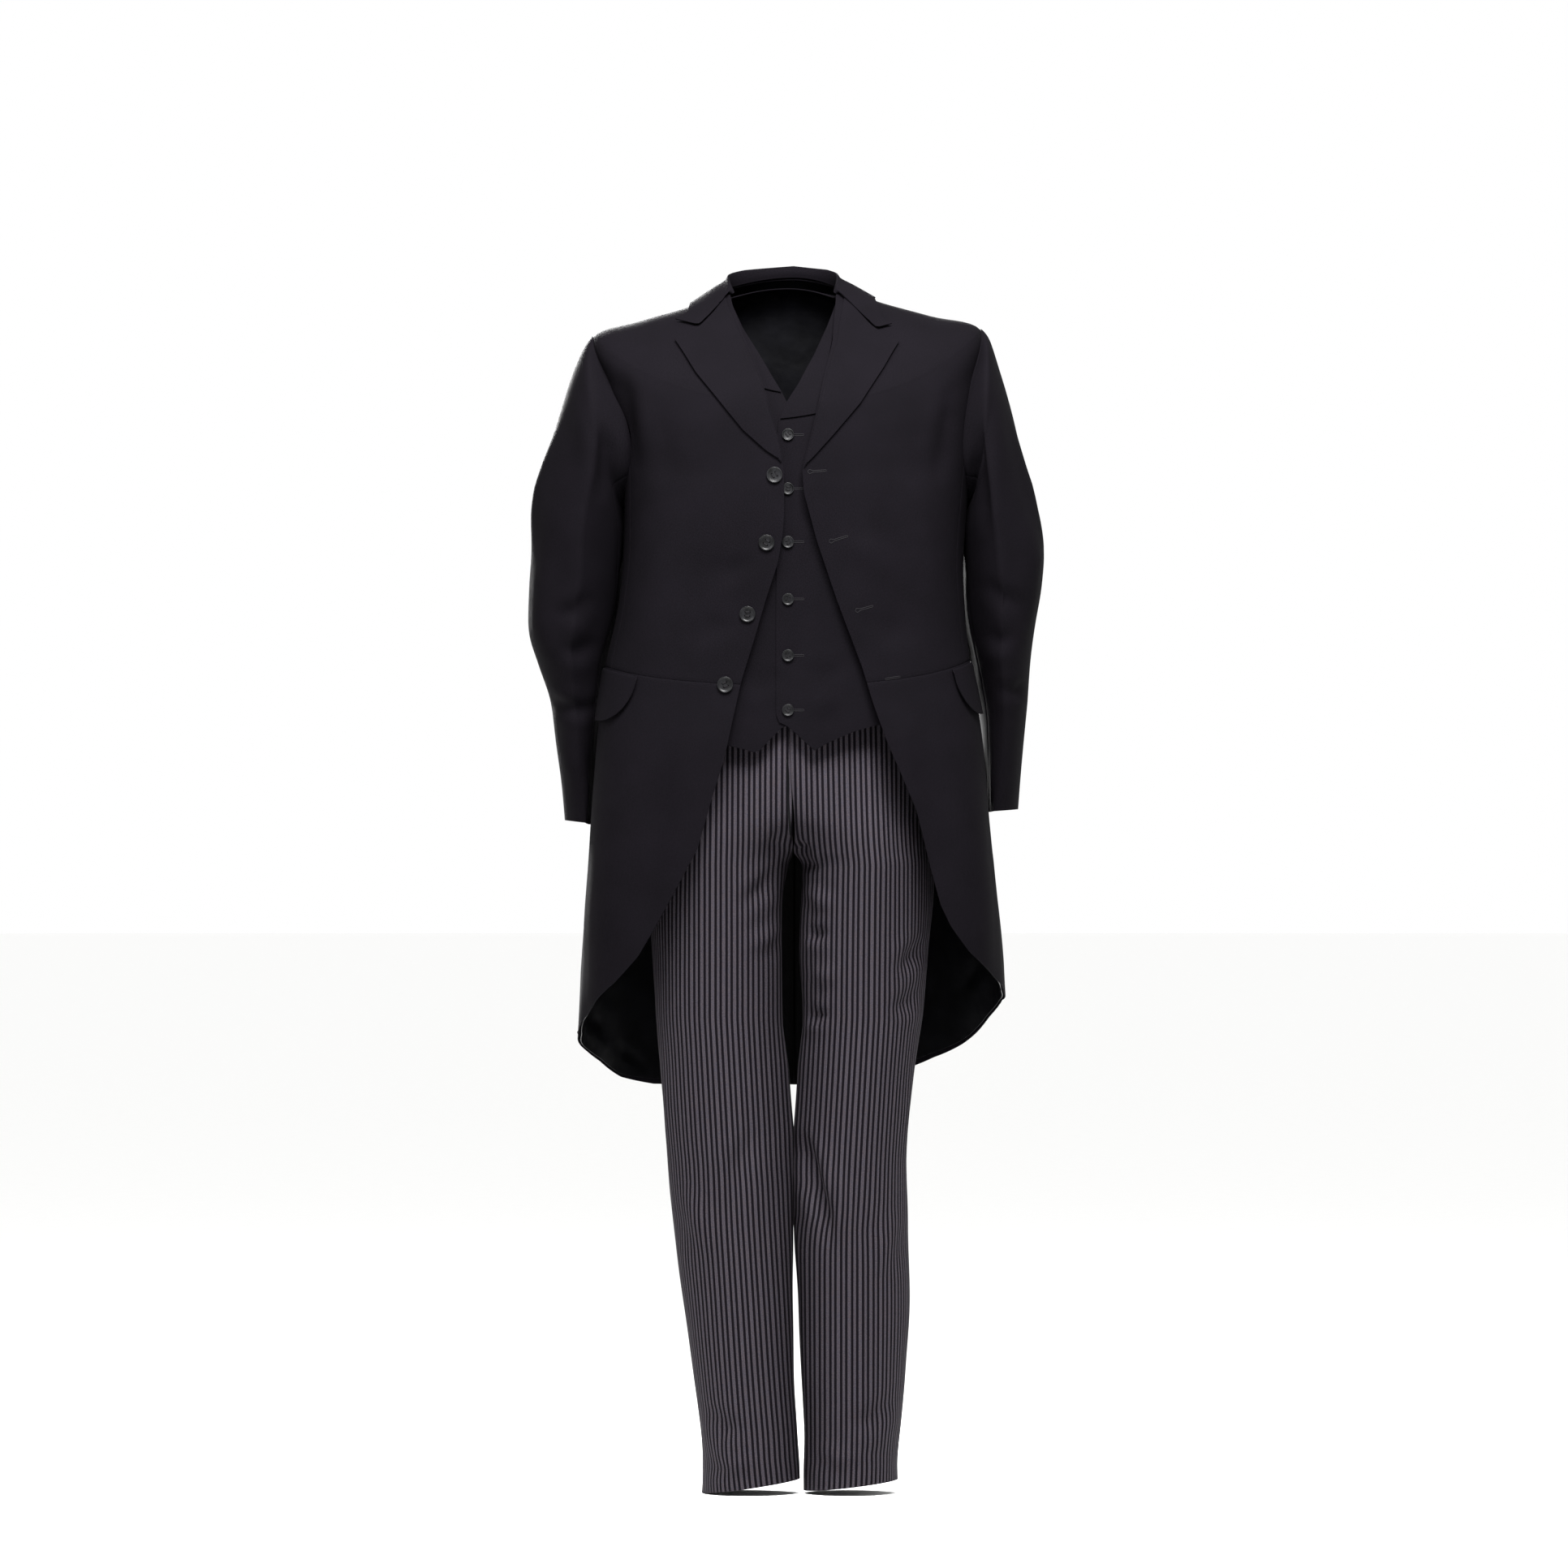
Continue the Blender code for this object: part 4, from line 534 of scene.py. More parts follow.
def level_at_height(surface, turn, z, first, last):
    """Level where a garment's form comes down to a height at each turn."""
    turn, z = np.broadcast_arrays(np.asarray(turn, float), np.asarray(z, float))
    return halved(np.full(turn.shape, float(first)), np.full(turn.shape, float(last)),
                  lambda level: surface(turn, level)[..., 2] > z)


def find_from_front(surface, x, z, level, turn=60.0):
    """Turn and level of the point of a form that is seen at x and z from the front."""
    x, z = np.asarray(x, float), np.asarray(z, float)
    turn, level = np.full_like(x, turn), np.full_like(x, level)
    for _ in range(SEARCH_ROUNDS):
        point = surface(turn, level)
        by_turn = (surface(turn + TURN_NUDGE, level) - point) / TURN_NUDGE
        by_level = (surface(turn, level + LEVEL_STEP) - point) / LEVEL_STEP
        miss_x, miss_z = x - point[..., 0], z - point[..., 2]
        scale = by_turn[..., 0] * by_level[..., 2] - by_level[..., 0] * by_turn[..., 2]
        turn_miss = (miss_x * by_level[..., 2] - by_level[..., 0] * miss_z) / scale
        level_miss = (by_turn[..., 0] * miss_z - miss_x * by_turn[..., 2]) / scale
        turn = np.clip(turn + np.clip(turn_miss, -TURN_STRIDE, TURN_STRIDE), 1, SEARCH_TURN_END)
        level = np.clip(level + np.clip(level_miss, -LEVEL_STRIDE, LEVEL_STRIDE), 0, HEM)
    return turn, level


def outer_turn(level, seam, forward):
    """Outer edge of a front or back: the shoulder seam, the armhole, then the side seam."""
    height = np.clip((ARMHOLE_CENTRE - level) / ARMHOLE_HALF, -1, 1)
    at_armhole = forward * ARMHOLE_TURN * np.sqrt(1 - height ** 2)
    at_seam = table_at(seam, level)
    return np.where(level < SHOULDER_TIP, 0.0, np.where(level <= ARMHOLE_SEAM, at_armhole, at_seam))


def vest_outer_turn(level, which):
    """Outer edge of the waistcoat: the shoulder seam, the armhole, then the side seam."""
    height = np.clip((level - VEST_STRAP) / (VEST_UNDERARM - VEST_STRAP), 0, 1)
    return VEST_ARMHOLE_TURN[which] * np.sin(np.pi * height) ** 0.8


def trouser_point(side, face, share, level):
    """Point of the trousers: face is 1 in front and -1 behind, share 0 at the side seam, 1 inside."""
    share, level = np.broadcast_arrays(np.asarray(share, float), np.asarray(level, float))
    ring = named(TROUSER_COLUMNS, rings_at(TROUSER_RINGS[side], level))
    ring.update(named(TROUSER_DEPTH_COLUMNS, rings_at(TROUSER_DEPTHS, level)))
    sweep = np.radians(ring["sweep_front"] if face > 0 else ring["sweep_back"])
    depth = ring["y_mid"] - ring["y_front"] if face > 0 else ring["y_back"] - ring["y_mid"]
    angle = sweep * share
    across = (1 - np.cos(angle)) / (1 - np.cos(sweep))
    x = ring["x_outer"] + (ring["x_inner"] - ring["x_outer"]) * across
    y = ring["y_mid"] - face * depth * np.sin(angle)
    z = ring["z_outer"] + (ring["z_inner"] - ring["z_outer"]) * across
    return np.stack([x, y, z], axis=-1) * MM


def normals_of(grid, handed):
    """Outward directions at the points of a grid; handed is 1 or -1 and says which way is out."""
    return unit(np.cross(np.gradient(grid, axis=1), np.gradient(grid, axis=0)) * handed)


def from_edge(grid, edge):
    """View of a grid whose first row lies along one of its edges."""
    turned = np.swapaxes(grid, 0, 1)
    return {"top": grid, "bottom": grid[::-1], "start": turned, "end": turned[::-1]}[edge]


def trimmed(grid, edges, gap=SEAM_GAP / 2):
    """Pull chosen edges of a grid of points in by half a seam gap."""
    grid = grid.copy()
    for edge in edges:
        rows = from_edge(grid, edge)
        rows[0] += unit(rows[1] - rows[0]) * gap
    return grid


def drawn_in(grid, edge, distance):
    """Shrink a grid away from one edge by a distance, keeping its rows evenly spaced."""
    result = np.empty_like(grid)
    old, new = from_edge(grid, edge), from_edge(result, edge)
    place = run_of(np.linalg.norm(np.diff(old, axis=0), axis=-1))
    for column in range(old.shape[1]):
        total = place[-1, column]
        wanted = distance + (total - distance) * place[:, column] / total
        for axis in range(3):
            new[:, column, axis] = np.interp(wanted, place[:, column], old[:, column, axis])
    return result


def resampled(grid, rows):
    """A grid with more rows, on a smooth curve through its own."""
    count = len(grid)
    level = np.linspace(0, count - 1, rows)
    return rings_at(grid.reshape(count, -1), level).reshape(rows, *grid.shape[1:])


def linear(hex_colour):
    """Linear RGBA from an sRGB hex colour."""
    parts = [int(hex_colour[i:i + 2], 16) / 255 for i in (1, 3, 5)]
    return tuple(c / 12.92 if c <= 0.04045 else ((c + 0.055) / 1.055) ** 2.4 for c in parts) + (1.0,)


def shade(colour, share):
    """Colour made darker or lighter by a share."""
    return tuple(min(1.0, part * share) for part in colour[:3]) + (1.0,)


def add_node(tree, kind, inputs=None, **settings):
    """Add a node with its settings; inputs holds a value, or the socket it is linked from, for each input."""
    made = tree.nodes.new(kind)
    for name, value in settings.items():
        setattr(made, name, value)
    for socket, value in (inputs or {}).items():
        if isinstance(value, bpy.types.NodeSocket):
            tree.links.new(value, made.inputs[socket])
        else:
            made.inputs[socket].default_value = value
    return made.outputs


def new_finish(name, **values):
    """New material with its shader's own values set; returns it, its tree, its shader and coordinates."""
    made = bpy.data.materials.new(name)
    made.use_nodes = True
    shader = made.node_tree.nodes["Principled BSDF"]
    for socket, value in values.items():
        shader.inputs[SHADER_SOCKETS[socket]].default_value = value
    return made, made.node_tree, shader, add_node(made.node_tree, "ShaderNodeTexCoord")


def fleck(tree, place, size, low=0.3, high=0.7):
    """Noise of a size in metres, stretched between two of its values to run from 0 to 1."""
    noise = add_node(tree, "ShaderNodeTexNoise", {"Vector": place, "Scale": 1 / size, "Detail": 2.0})
    return add_node(tree, "ShaderNodeMapRange", {0: noise[0], 1: low, 2: high})[0]


def shaded(tree, factor, colour, dark, light):
    """A colour that runs between a darker and a lighter share of itself."""
    return add_node(tree, "ShaderNodeMix", {0: factor, 6: shade(colour, dark), 7: shade(colour, light)},
                    data_type="RGBA")[2]


def twill_height(tree, uv):
    """Height of the fine diagonal ribs of a twill."""
    parts = add_node(tree, "ShaderNodeSeparateXYZ", {0: uv})
    diagonal = add_node(tree, "ShaderNodeMath", {0: parts["X"], 1: parts["Y"]}, operation="ADD")[0]
    waves = 2 * math.pi / TWILL_PITCH
    turned = add_node(tree, "ShaderNodeMath", {0: diagonal, 1: waves}, operation="MULTIPLY")[0]
    return add_node(tree, "ShaderNodeMath", {0: turned}, operation="SINE")[0]


def surfaced(tree, shader, colour, height, strength, distance):
    """Link a colour and a bump to a shader; distance is the bump's real height in metres."""
    tree.links.new(colour, shader.inputs["Base Color"])
    normal = add_node(tree, "ShaderNodeBump", {"Height": height, "Strength": strength, "Distance": distance})
    tree.links.new(normal["Normal"], shader.inputs["Normal"])


def worsted_wool(name, colour):
    """Worsted wool: matte and nearly black, with fine flecks, faint patches and a twill rib."""
    made, tree, shader, at = new_finish(name, roughness=0.85, ior=1.45, specular=0.03)
    flecks = fleck(tree, at["UV"], TWILL_FLECK, 0.35, 0.65)
    patches = fleck(tree, at["Object"], WOOL_PATCH)
    tone = add_node(tree, "ShaderNodeMath", {0: patches, 1: 0.35, 2: flecks}, operation="MULTIPLY_ADD")[0]
    share = add_node(tree, "ShaderNodeMath", {0: tone, 1: 0.74}, operation="MULTIPLY")[0]
    ribs = twill_height(tree, at["UV"])
    height = add_node(tree, "ShaderNodeMath", {0: flecks, 1: 0.8, 2: ribs}, operation="MULTIPLY_ADD")[0]
    surfaced(tree, shader, shaded(tree, share, colour, 0.6, 1.6), height, 0.5, TWILL_RELIEF)
    return made


def striped_worsted(name, colour):
    """Striped worsted: salt and pepper grey with fine black stripes along the grain."""
    made, tree, shader, at = new_finish(name, roughness=0.9, ior=1.45, specular=0.04)
    across = add_node(tree, "ShaderNodeSeparateXYZ", {0: at["UV"]})["X"]
    place = add_node(tree, "ShaderNodeMath", {0: across, 1: STRIPE_REPEAT}, operation="FLOORED_MODULO")[0]
    rest = add_node(tree, "ShaderNodeMath", {0: STRIPE_REPEAT, 1: place}, operation="SUBTRACT")[0]
    to_first = add_node(tree, "ShaderNodeMath", {0: rest, 1: place}, operation="MINIMUM")[0]
    past = add_node(tree, "ShaderNodeMath", {0: place, 1: STRIPE_SECOND}, operation="SUBTRACT")[0]
    to_second = add_node(tree, "ShaderNodeMath", {0: past}, operation="ABSOLUTE")[0]
    nearest = add_node(tree, "ShaderNodeMath", {0: to_first, 1: to_second}, operation="MINIMUM")[0]
    fray = fleck(tree, at["UV"], STRIPE_FRAY)
    edge = add_node(tree, "ShaderNodeMath", {0: fray, 1: STRIPE_FRAY_DEPTH, 2: nearest},
                    operation="MULTIPLY_ADD")[0]
    stripe = add_node(tree, "ShaderNodeMapRange",
                      {0: edge, 1: STRIPE_HALF, 2: STRIPE_HALF + STRIPE_SOFTNESS, 3: 1.0, 4: 0.0})[0]
    salt = fleck(tree, at["UV"], SALT_GRAIN, 0.36, 0.62)
    tint = fleck(tree, at["Object"], TINT_GRAIN, 0.35, 0.65)
    grey = shaded(tree, salt, colour, 0.35, 2.0)
    tinted = add_node(tree, "ShaderNodeMix", {0: tint, 6: linear("#2E2D3A"), 7: linear("#3B3033")},
                      data_type="RGBA")[2]
    ground = add_node(tree, "ShaderNodeMix", {0: TINT_SHARE, 6: grey, 7: tinted}, data_type="RGBA")[2]
    line = shaded(tree, salt, look().stripe_colour, 0.7, 1.8)
    cloth_colour = add_node(tree, "ShaderNodeMix", {0: stripe, 6: ground, 7: line}, data_type="RGBA")[2]
    ribs = twill_height(tree, at["UV"])
    height = add_node(tree, "ShaderNodeMath", {0: salt, 1: 0.9, 2: ribs}, operation="MULTIPLY_ADD")[0]
    surfaced(tree, shader, cloth_colour, height, 0.5, TWILL_RELIEF)
    return made


def black_satin(name, colour):
    """Lining satin: deep black with a soft silky shine and small slack wrinkles; its colour is painted darker
    in their hollows and lighter on their ridges as shade and sheen.
    """
    made, tree, shader, at = new_finish(name, roughness=0.36, ior=1.5, specular=0.06, anisotropic=0.35)
    crease_height_and_shade = fleck(tree, at["Object"], SATIN_CREASE)
    threads = fleck(tree, at["UV"], SATIN_THREAD)
    height = add_node(tree, "ShaderNodeMath", {0: crease_height_and_shade, 1: 14.0, 2: threads},
                      operation="MULTIPLY_ADD")[0]
    # Colour runs with the wrinkles' height: painted shade in the hollows and painted sheen on the ridges
    surfaced(tree, shader, shaded(tree, crease_height_and_shade, colour, 0.7, 1.5), height, 0.35, 0.12 * MM)
    return made


def dark_horn(name, colour):
    """Polished dark horn: charcoal with cloudy streaks and a clear, soft gloss."""
    made, tree, shader, at = new_finish(name, roughness=0.34, ior=1.54, specular=0.11)
    streaks = add_node(tree, "ShaderNodeMapping", {0: at["Object"], 3: (1.0, 1.0, 0.35)})[0]
    clouds = fleck(tree, streaks, HORN_CLOUD, 0.35, 0.68)
    grain = fleck(tree, at["Object"], HORN_GRAIN)
    surfaced(tree, shader, shaded(tree, clouds, colour, 0.6, 2.2), grain, 0.15, 0.03 * MM)
    return made


def silk_thread(name, colour):
    """Buttonhole twist: black silk thread with a low shine along its fine ply."""
    made, tree, shader, at = new_finish(name, roughness=0.7, ior=1.5, specular=0.08)
    ply = fleck(tree, at["Object"], THREAD_PLY)
    surfaced(tree, shader, shaded(tree, ply, colour, 0.7, 1.8), ply, 0.4, 0.05 * MM)
    return made


def studio_paper(name, colour):
    """Studio background paper: matte and almost white, with a faint pulp grain."""
    made, tree, shader, at = new_finish(name, roughness=0.9, specular=0.1)
    pulp = fleck(tree, at["Object"], PAPER_PULP)
    surfaced(tree, shader, shaded(tree, pulp, colour, 0.985, 1.0), pulp, 0.1, 0.2 * MM)
    return made


SHADER_SOCKETS = {"roughness": "Roughness", "ior": "IOR", "specular": "Specular IOR Level",
                  "anisotropic": "Anisotropic"}
# Finishes: the material's name, the function that makes it and its colour in the settings
FINISHES = {
    "coat_wool": ("charcoal_worsted_wool", worsted_wool, "coat_colour"),
    "vest_wool": ("waistcoat_worsted_wool", worsted_wool, "waistcoat_colour"),
    "trouser_wool": ("striped_worsted_wool", striped_worsted, "trouser_colour"),
    "lining_satin": ("black_lining_satin", black_satin, "lining_colour"),
    "button_horn": ("polished_dark_horn", dark_horn, "button_colour"),
    "thread": ("black_silk_twist", silk_thread, "thread_colour"),
    "paper": ("matte_studio_paper", studio_paper, "floor_colour"),
}
# A worsted's twill ribs are 0.5 mm apart and its flecks finer; both are drawn coarser so that they show
TWILL_PITCH, TWILL_FLECK, TWILL_RELIEF = 1.5 * MM, 1.3 * MM, 0.06 * MM
WOOL_PATCH = 60 * MM
# Stripes: the repeat of two, the second's place in it, half a stripe's width and its soft, frayed edge
STRIPE_REPEAT, STRIPE_SECOND, STRIPE_HALF = 13.8 * MM, 7.36 * MM, 1.65 * MM
STRIPE_FRAY, STRIPE_FRAY_DEPTH, STRIPE_SOFTNESS = 1.1 * MM, 0.35 * MM, 0.3 * MM
# The grey between them: grains of light and dark yarn, and a little of a blue and a red tint
SALT_GRAIN, TINT_GRAIN, TINT_SHARE = 0.9 * MM, 2.6 * MM, 0.18
SATIN_CREASE, SATIN_THREAD = 32 * MM, 1.2 * MM
HORN_CLOUD, HORN_GRAIN = 5 * MM, 0.8 * MM
THREAD_PLY, PAPER_PULP = 0.6 * MM, 40 * MM


def finish(key):
    """One of the suit's finishes, made the first time it is asked for."""
    name, maker, colour = FINISHES[key]
    return bpy.data.materials.get(name) or maker(name, getattr(look(), colour))


def fold_heights(points, normals, folds):
    """How far folds raise or sink each point; a fold is a path drawn in one view."""
    total = np.zeros(points.shape[:-1])
    for view, rows in folds:
        axes, direction = FOLD_VIEWS[view]
        flat = points[..., axes] / MM
        rows = np.array(rows, float)
        nearest = np.full(total.shape, np.inf)
        width, depth = np.ones_like(total), np.zeros_like(total)
        for start, end in zip(rows[:-1], rows[1:]):
            way = end[:2] - start[:2]
            part = np.clip((flat - start[:2]) @ way / (way @ way), 0, 1)
            away = np.linalg.norm(flat - start[:2] - part[..., None] * way, axis=-1)
            closer = away < nearest
            nearest = np.where(closer, away, nearest)
            width = np.where(closer, start[2] + (end[2] - start[2]) * part, width)
            depth = np.where(closer, start[3] + (end[3] - start[3]) * part, depth)
        facing = np.clip(normals @ np.array(direction, float) * FOLD_FACING, 0, 1)
        across = nearest / width
        shape = np.exp(-across ** 2) - FOLD_SHOULDER * np.exp(-(across - FOLD_SHOULDER_AT) ** 2)
        total += depth * shape * facing * MM
    return total


def unevenness(points, height):
    """Slow waves that keep cloth from being perfectly even, the same for all pieces at one place."""
    total = np.zeros(points.shape[:-1])
    for (x, y, z), phase in CLOTH_WAVES:
        total += np.sin((points[..., 0] * x + points[..., 1] * y + points[..., 2] * z) * 2 * math.pi + phase)
    return total / len(CLOTH_WAVES) * height


def with_edge_rows(grid):
    """A grid with extra rows and columns close to its four edges, so that the edges can be rolled."""
    for _ in range(4):
        border, inside = grid[0], grid[1]
        way = inside - border
        length = np.maximum(np.linalg.norm(way, axis=-1, keepdims=True), 1e-9)
        extra = [border + way * np.minimum(near / length, share) for near, share in EDGE_ROWS]
        grid = np.concatenate([border[None], np.array(extra), grid[1:]])
        grid = np.swapaxes(grid, 0, 1)[::-1]
    return grid


def seam_roll(grid, handed, seams):
    """Sink a grid's seam edges a little, as cloth turns in where it is sewn."""
    sink = np.zeros(grid.shape[:2])
    for edge in seams:
        rows = from_edge(sink, edge)
        for count, share in enumerate(SEAM_ROLL):
            rows[count] = np.maximum(rows[count], share)
    return grid - normals_of(grid, handed) * (sink * look().seam_roll)[..., None]


def flat_lengths(grid, grain_x):
    """Cloth coordinates in metres: across from the grain line, and down along the cloth."""
    step = np.diff(grid, axis=1)
    if grain_x is not None:
        step[..., 1] *= np.interp(np.linspace(0, 1, step.shape[1]), *INSEAM_EASE)
    across = run_of(np.linalg.norm(step, axis=-1), 1)
    down = run_of(np.linalg.norm(np.diff(grid, axis=0), axis=-1).mean(axis=1))
    if grain_x is None:
        start = across[:, across.shape[1] // 2]
    else:
        order = np.argsort(grid[..., 0], axis=1)
        start = np.array([np.interp(x, row[rising, 0], away[rising])
                          for x, row, away, rising in zip(grain_x, grid, across, order)])
    return across - start[:, None], np.broadcast_to(down[:, None], across.shape)


def grid_mesh(name, grid):
    """New mesh object: a grid primitive with its vertices moved to the points of a grid."""
    rows, columns = grid.shape[:2]
    bpy.ops.object.select_all(action="DESELECT")
    bpy.ops.mesh.primitive_grid_add(x_subdivisions=columns - 1, y_subdivisions=rows - 1, size=1)
    made = bpy.context.active_object
    made.name = made.data.name = name
    made.data.vertices.foreach_set("co", np.ascontiguousarray(grid[..., :3]).reshape(-1))
    return made


def merge_points(nearer_than, outward=False):
    """Merge the active mesh's points that nearly meet and, if asked, turn its faces out."""
    bpy.ops.object.mode_set(mode="EDIT")
    bpy.ops.mesh.select_all(action="SELECT")
    bpy.ops.mesh.remove_doubles(threshold=nearer_than)
    if outward:
        bpy.ops.mesh.normals_make_consistent(inside=False)
    bpy.ops.object.mode_set(mode="OBJECT")


def cloth(kind, side, grid, handed, folds=(), grain_x=None, closed=False):
    """Cloth piece that replaces a node: a grid laid on the form, draped, given its wall and soft edges."""
    node = f"{kind}_{SIDE_NAMES[side]}" if side else kind
    garment, outside, inside, seams, held, rests_on = KINDS[kind]
    normals = normals_of(grid, handed)
    lift = fold_heights(grid, normals, folds) * look().fold_strength
    lift = lift + unevenness(grid, look().cloth_unevenness)
    grid = grid + normals * lift[..., None]
    if grain_x is not None:
        grain_x = np.interp(np.linspace(0, 1, len(grid)), np.linspace(0, 1, len(grain_x)), grain_x)
    across, down = flat_lengths(grid, grain_x)
    grid = np.concatenate([grid, across[..., None], down[..., None]], axis=-1)
    if not closed:
        grid = with_edge_rows(grid)
        grid = np.concatenate([seam_roll(grid[..., :3], handed, seams), grid[..., 3:]], axis=-1)
    if handed < 0:
        grid = grid[:, ::-1]
    piece = grid_mesh(f"{node}_cloth", grid)
    mesh = piece.data
    corner = np.zeros(len(mesh.loops), int)
    mesh.loops.foreach_get("vertex_index", corner)
    flat = grid[..., 3:5].reshape(-1, 2)[corner]
    mesh.uv_layers.active.data.foreach_set("uv", np.ascontiguousarray(flat).reshape(-1))
    if closed:
        merge_points(1e-5)
    mesh.materials.append(finish(outside))
    mesh.materials.append(finish(inside))
    wall = getattr(look(), f"{garment}_wall")
    apply_modifier(piece, "SOLIDIFY", thickness=wall, offset=0, use_quality_normals=True, material_offset=1)
    apply_modifier(piece, "BEVEL", width=wall * EDGE_ROUNDING, segments=2, limit_method="ANGLE",
                   angle_limit=math.radians(60))
    bpy.ops.object.shade_smooth_by_angle(angle=math.radians(60))
    finish_piece(piece, node)
    rests_on = [name.replace("SIDE", SIDE_NAMES.get(side, "")) for name in rests_on]


def apply_modifier(piece, kind, **settings):
    """Add a modifier with its settings and apply it."""
    modifier = piece.modifiers.new(kind.title(), kind)
    for name, value in settings.items():
        setattr(modifier, name, value)
    bpy.context.view_layer.objects.active = piece
    bpy.ops.object.modifier_apply(modifier=modifier.name)


def finish_piece(piece, node):
    """Let a piece ride on the suit's only body and stand for its node, whose own part is hidden."""
    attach(piece, BODY)
    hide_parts(node)


# Kinds of cloth piece: its garment, the finishes outside and inside, the edges that turn in at seams,
# how it is held and the nodes that it lies on or hangs from
KINDS = {
    "coat_front": ("coat", "coat_wool", "lining_satin", ("top", "bottom", "end"), "draped",
                   ["vest_front_SIDE"]),
    "coat_side": ("coat", "coat_wool", "lining_satin", ("top", "bottom", "start", "end"), "draped",
                  ["vest_back"]),
    "coat_back": ("coat", "coat_wool", "lining_satin", ("top", "start", "end"), "draped", ["vest_back"]),
    "coat_skirt": ("coat", "coat_wool", "coat_wool", ("top", "end"), "hung",
                   ["coat_front_SIDE", "coat_back_SIDE"]),
    "coat_lining": ("lining", "lining_satin", "lining_satin", (), "hung", ["coat_skirt_SIDE"]),
    "coat_lapel": ("coat", "coat_wool", "coat_wool", (), "folded", ["coat_front_SIDE"]),
    "coat_collar": ("coat", "coat_wool", "coat_wool", (), "folded", ["coat_back_left", "coat_back_right"]),
    "coat_top_sleeve": ("coat", "coat_wool", "lining_satin", ("top", "start", "end"), "hung",
                        ["coat_front_SIDE", "coat_back_SIDE"]),
    "coat_under_sleeve": ("coat", "coat_wool", "lining_satin", ("top", "start", "end"), "hung",
                          ["coat_top_sleeve_SIDE"]),
    "coat_flap": ("coat", "coat_wool", "coat_wool", ("top",), "hung", ["coat_skirt_SIDE"]),
    "vest_front": ("waistcoat", "vest_wool", "lining_satin", ("top", "end"), "draped",
                   ["trouser_front_SIDE"]),
    "vest_lapel": ("waistcoat", "vest_wool", "vest_wool", (), "folded", ["vest_front_SIDE"]),
    "vest_back": ("waistcoat", "vest_wool", "lining_satin", ("top",), "draped",
                  ["trouser_back_left", "trouser_back_right"]),
    "trouser_front": ("trouser", "trouser_wool", "trouser_wool", ("top", "start", "end"), "hung",
                      ["trouser_waistband"]),
    "trouser_back": ("trouser", "trouser_wool", "trouser_wool", ("top", "start", "end"), "hung",
                     ["trouser_waistband"]),
    "trouser_waistband": ("trouser", "trouser_wool", "trouser_wool", (), "draped", ["vest_back"]),
    "trouser_fly": ("trouser", "trouser_wool", "trouser_wool", (), "laid", ["trouser_front_right"]),
}
# Views that folds are drawn in: their two axes and the direction that faces them
FOLD_VIEWS = {"front": ([0, 2], (0, -1, 0)), "back": ([0, 2], (0, 1, 0)),
              "left": ([1, 2], (-1, 0, 0)), "right": ([1, 2], (1, 0, 0))}
# A fold fades where the cloth turns away from its view, and has a shallow shoulder on each side
FOLD_FACING, FOLD_SHOULDER, FOLD_SHOULDER_AT = 2.5, 0.3, 1.9
# Stripes are eased towards the inside leg: place across a panel, then the share of its depth that counts
INSEAM_EASE = ((0.45, 0.65), (1.0, 0.4))
# Slow waves of the cloth: waves to a metre along x, y and z, then the phase
CLOTH_WAVES = (((5.1, 3.0, 4.3), 0.3), ((-4.2, 5.5, 6.1), 1.9), ((7.9, -2.1, 3.2), 4.0),
               ((2.7, 8.1, -7.4), 2.6), ((-9.6, 1.2, 8.8), 5.2))
# Rows close to an edge, how far each of the first rows is sunk at a seam, and a wall's rounded edges
EDGE_ROWS = ((1.0 * MM, 0.25), (2.4 * MM, 0.55))
SEAM_ROLL = (1.0, 0.45, 0.1)
EDGE_ROUNDING = 0.28


def level_rows(stretches):
    """Levels for the rows of a panel, from stretches of first level, last level and length in mm."""
    levels = [stretches[0][0]]
    for first, last, length in stretches:
        levels.extend(np.linspace(first, last, steps(length * MM, look().cloth_step) + 1)[1:])
    return np.array(levels)


def make_coat_body():
    """Fronts, side bodies, backs and skirts of the coat."""
    upper, skirt = level_rows(UPPER_STRETCHES), level_rows(SKIRT_STRETCHES)
    whole = level_rows(UPPER_STRETCHES + SKIRT_STRETCHES)
    for side in BOTH:
        surface = coat_surface(side)
        edge = turn_at_edge(surface, side, upper, COAT_EDGE[side])
        turn = between(edge, outer_turn(upper, SIDE_SEAM_TURN, 1), shares(0.26))
        front = trimmed(on_rows(surface, side, turn, upper), ("top", "bottom", "end"))
        cloth("coat_front", side, front, -side, FRONT_FOLDS[side])
        cloth("coat_side", side, side_body_grid(surface, side), -side, FRONT_FOLDS[side] + BACK_FOLDS[side])
        cloth("coat_back", side, back_grid(surface, side, whole), side, BACK_FOLDS[side])
        skirt_part = trimmed(skirt_grid(surface, side, skirt), ("top", "end"))
        cloth("coat_skirt", side, skirt_part, -side, SKIRT_FOLDS[side])


def side_body_grid(surface, side):
    """Side body: from the low curve of the armhole down to the waist seam."""
    way, share = shares(0.28)[:, None], shares(0.16)
    armhole = SIDE_BODY_TOP_TURN * (1 - 2 * share)
    top = ARMHOLE_CENTRE + ARMHOLE_HALF * np.sqrt(1 - (armhole / ARMHOLE_TURN) ** 2)
    seam_level = ARMHOLE_SEAM + (WAIST - ARMHOLE_SEAM) * way
    start, stop = table_at(SIDE_SEAM_TURN, seam_level), table_at(BACK_SEAM_TURN, seam_level)
    grid = on_form(surface, side, start + (stop - start) * share, top + (WAIST - top) * way)
    return trimmed(grid, ("top", "bottom", "start", "end"))


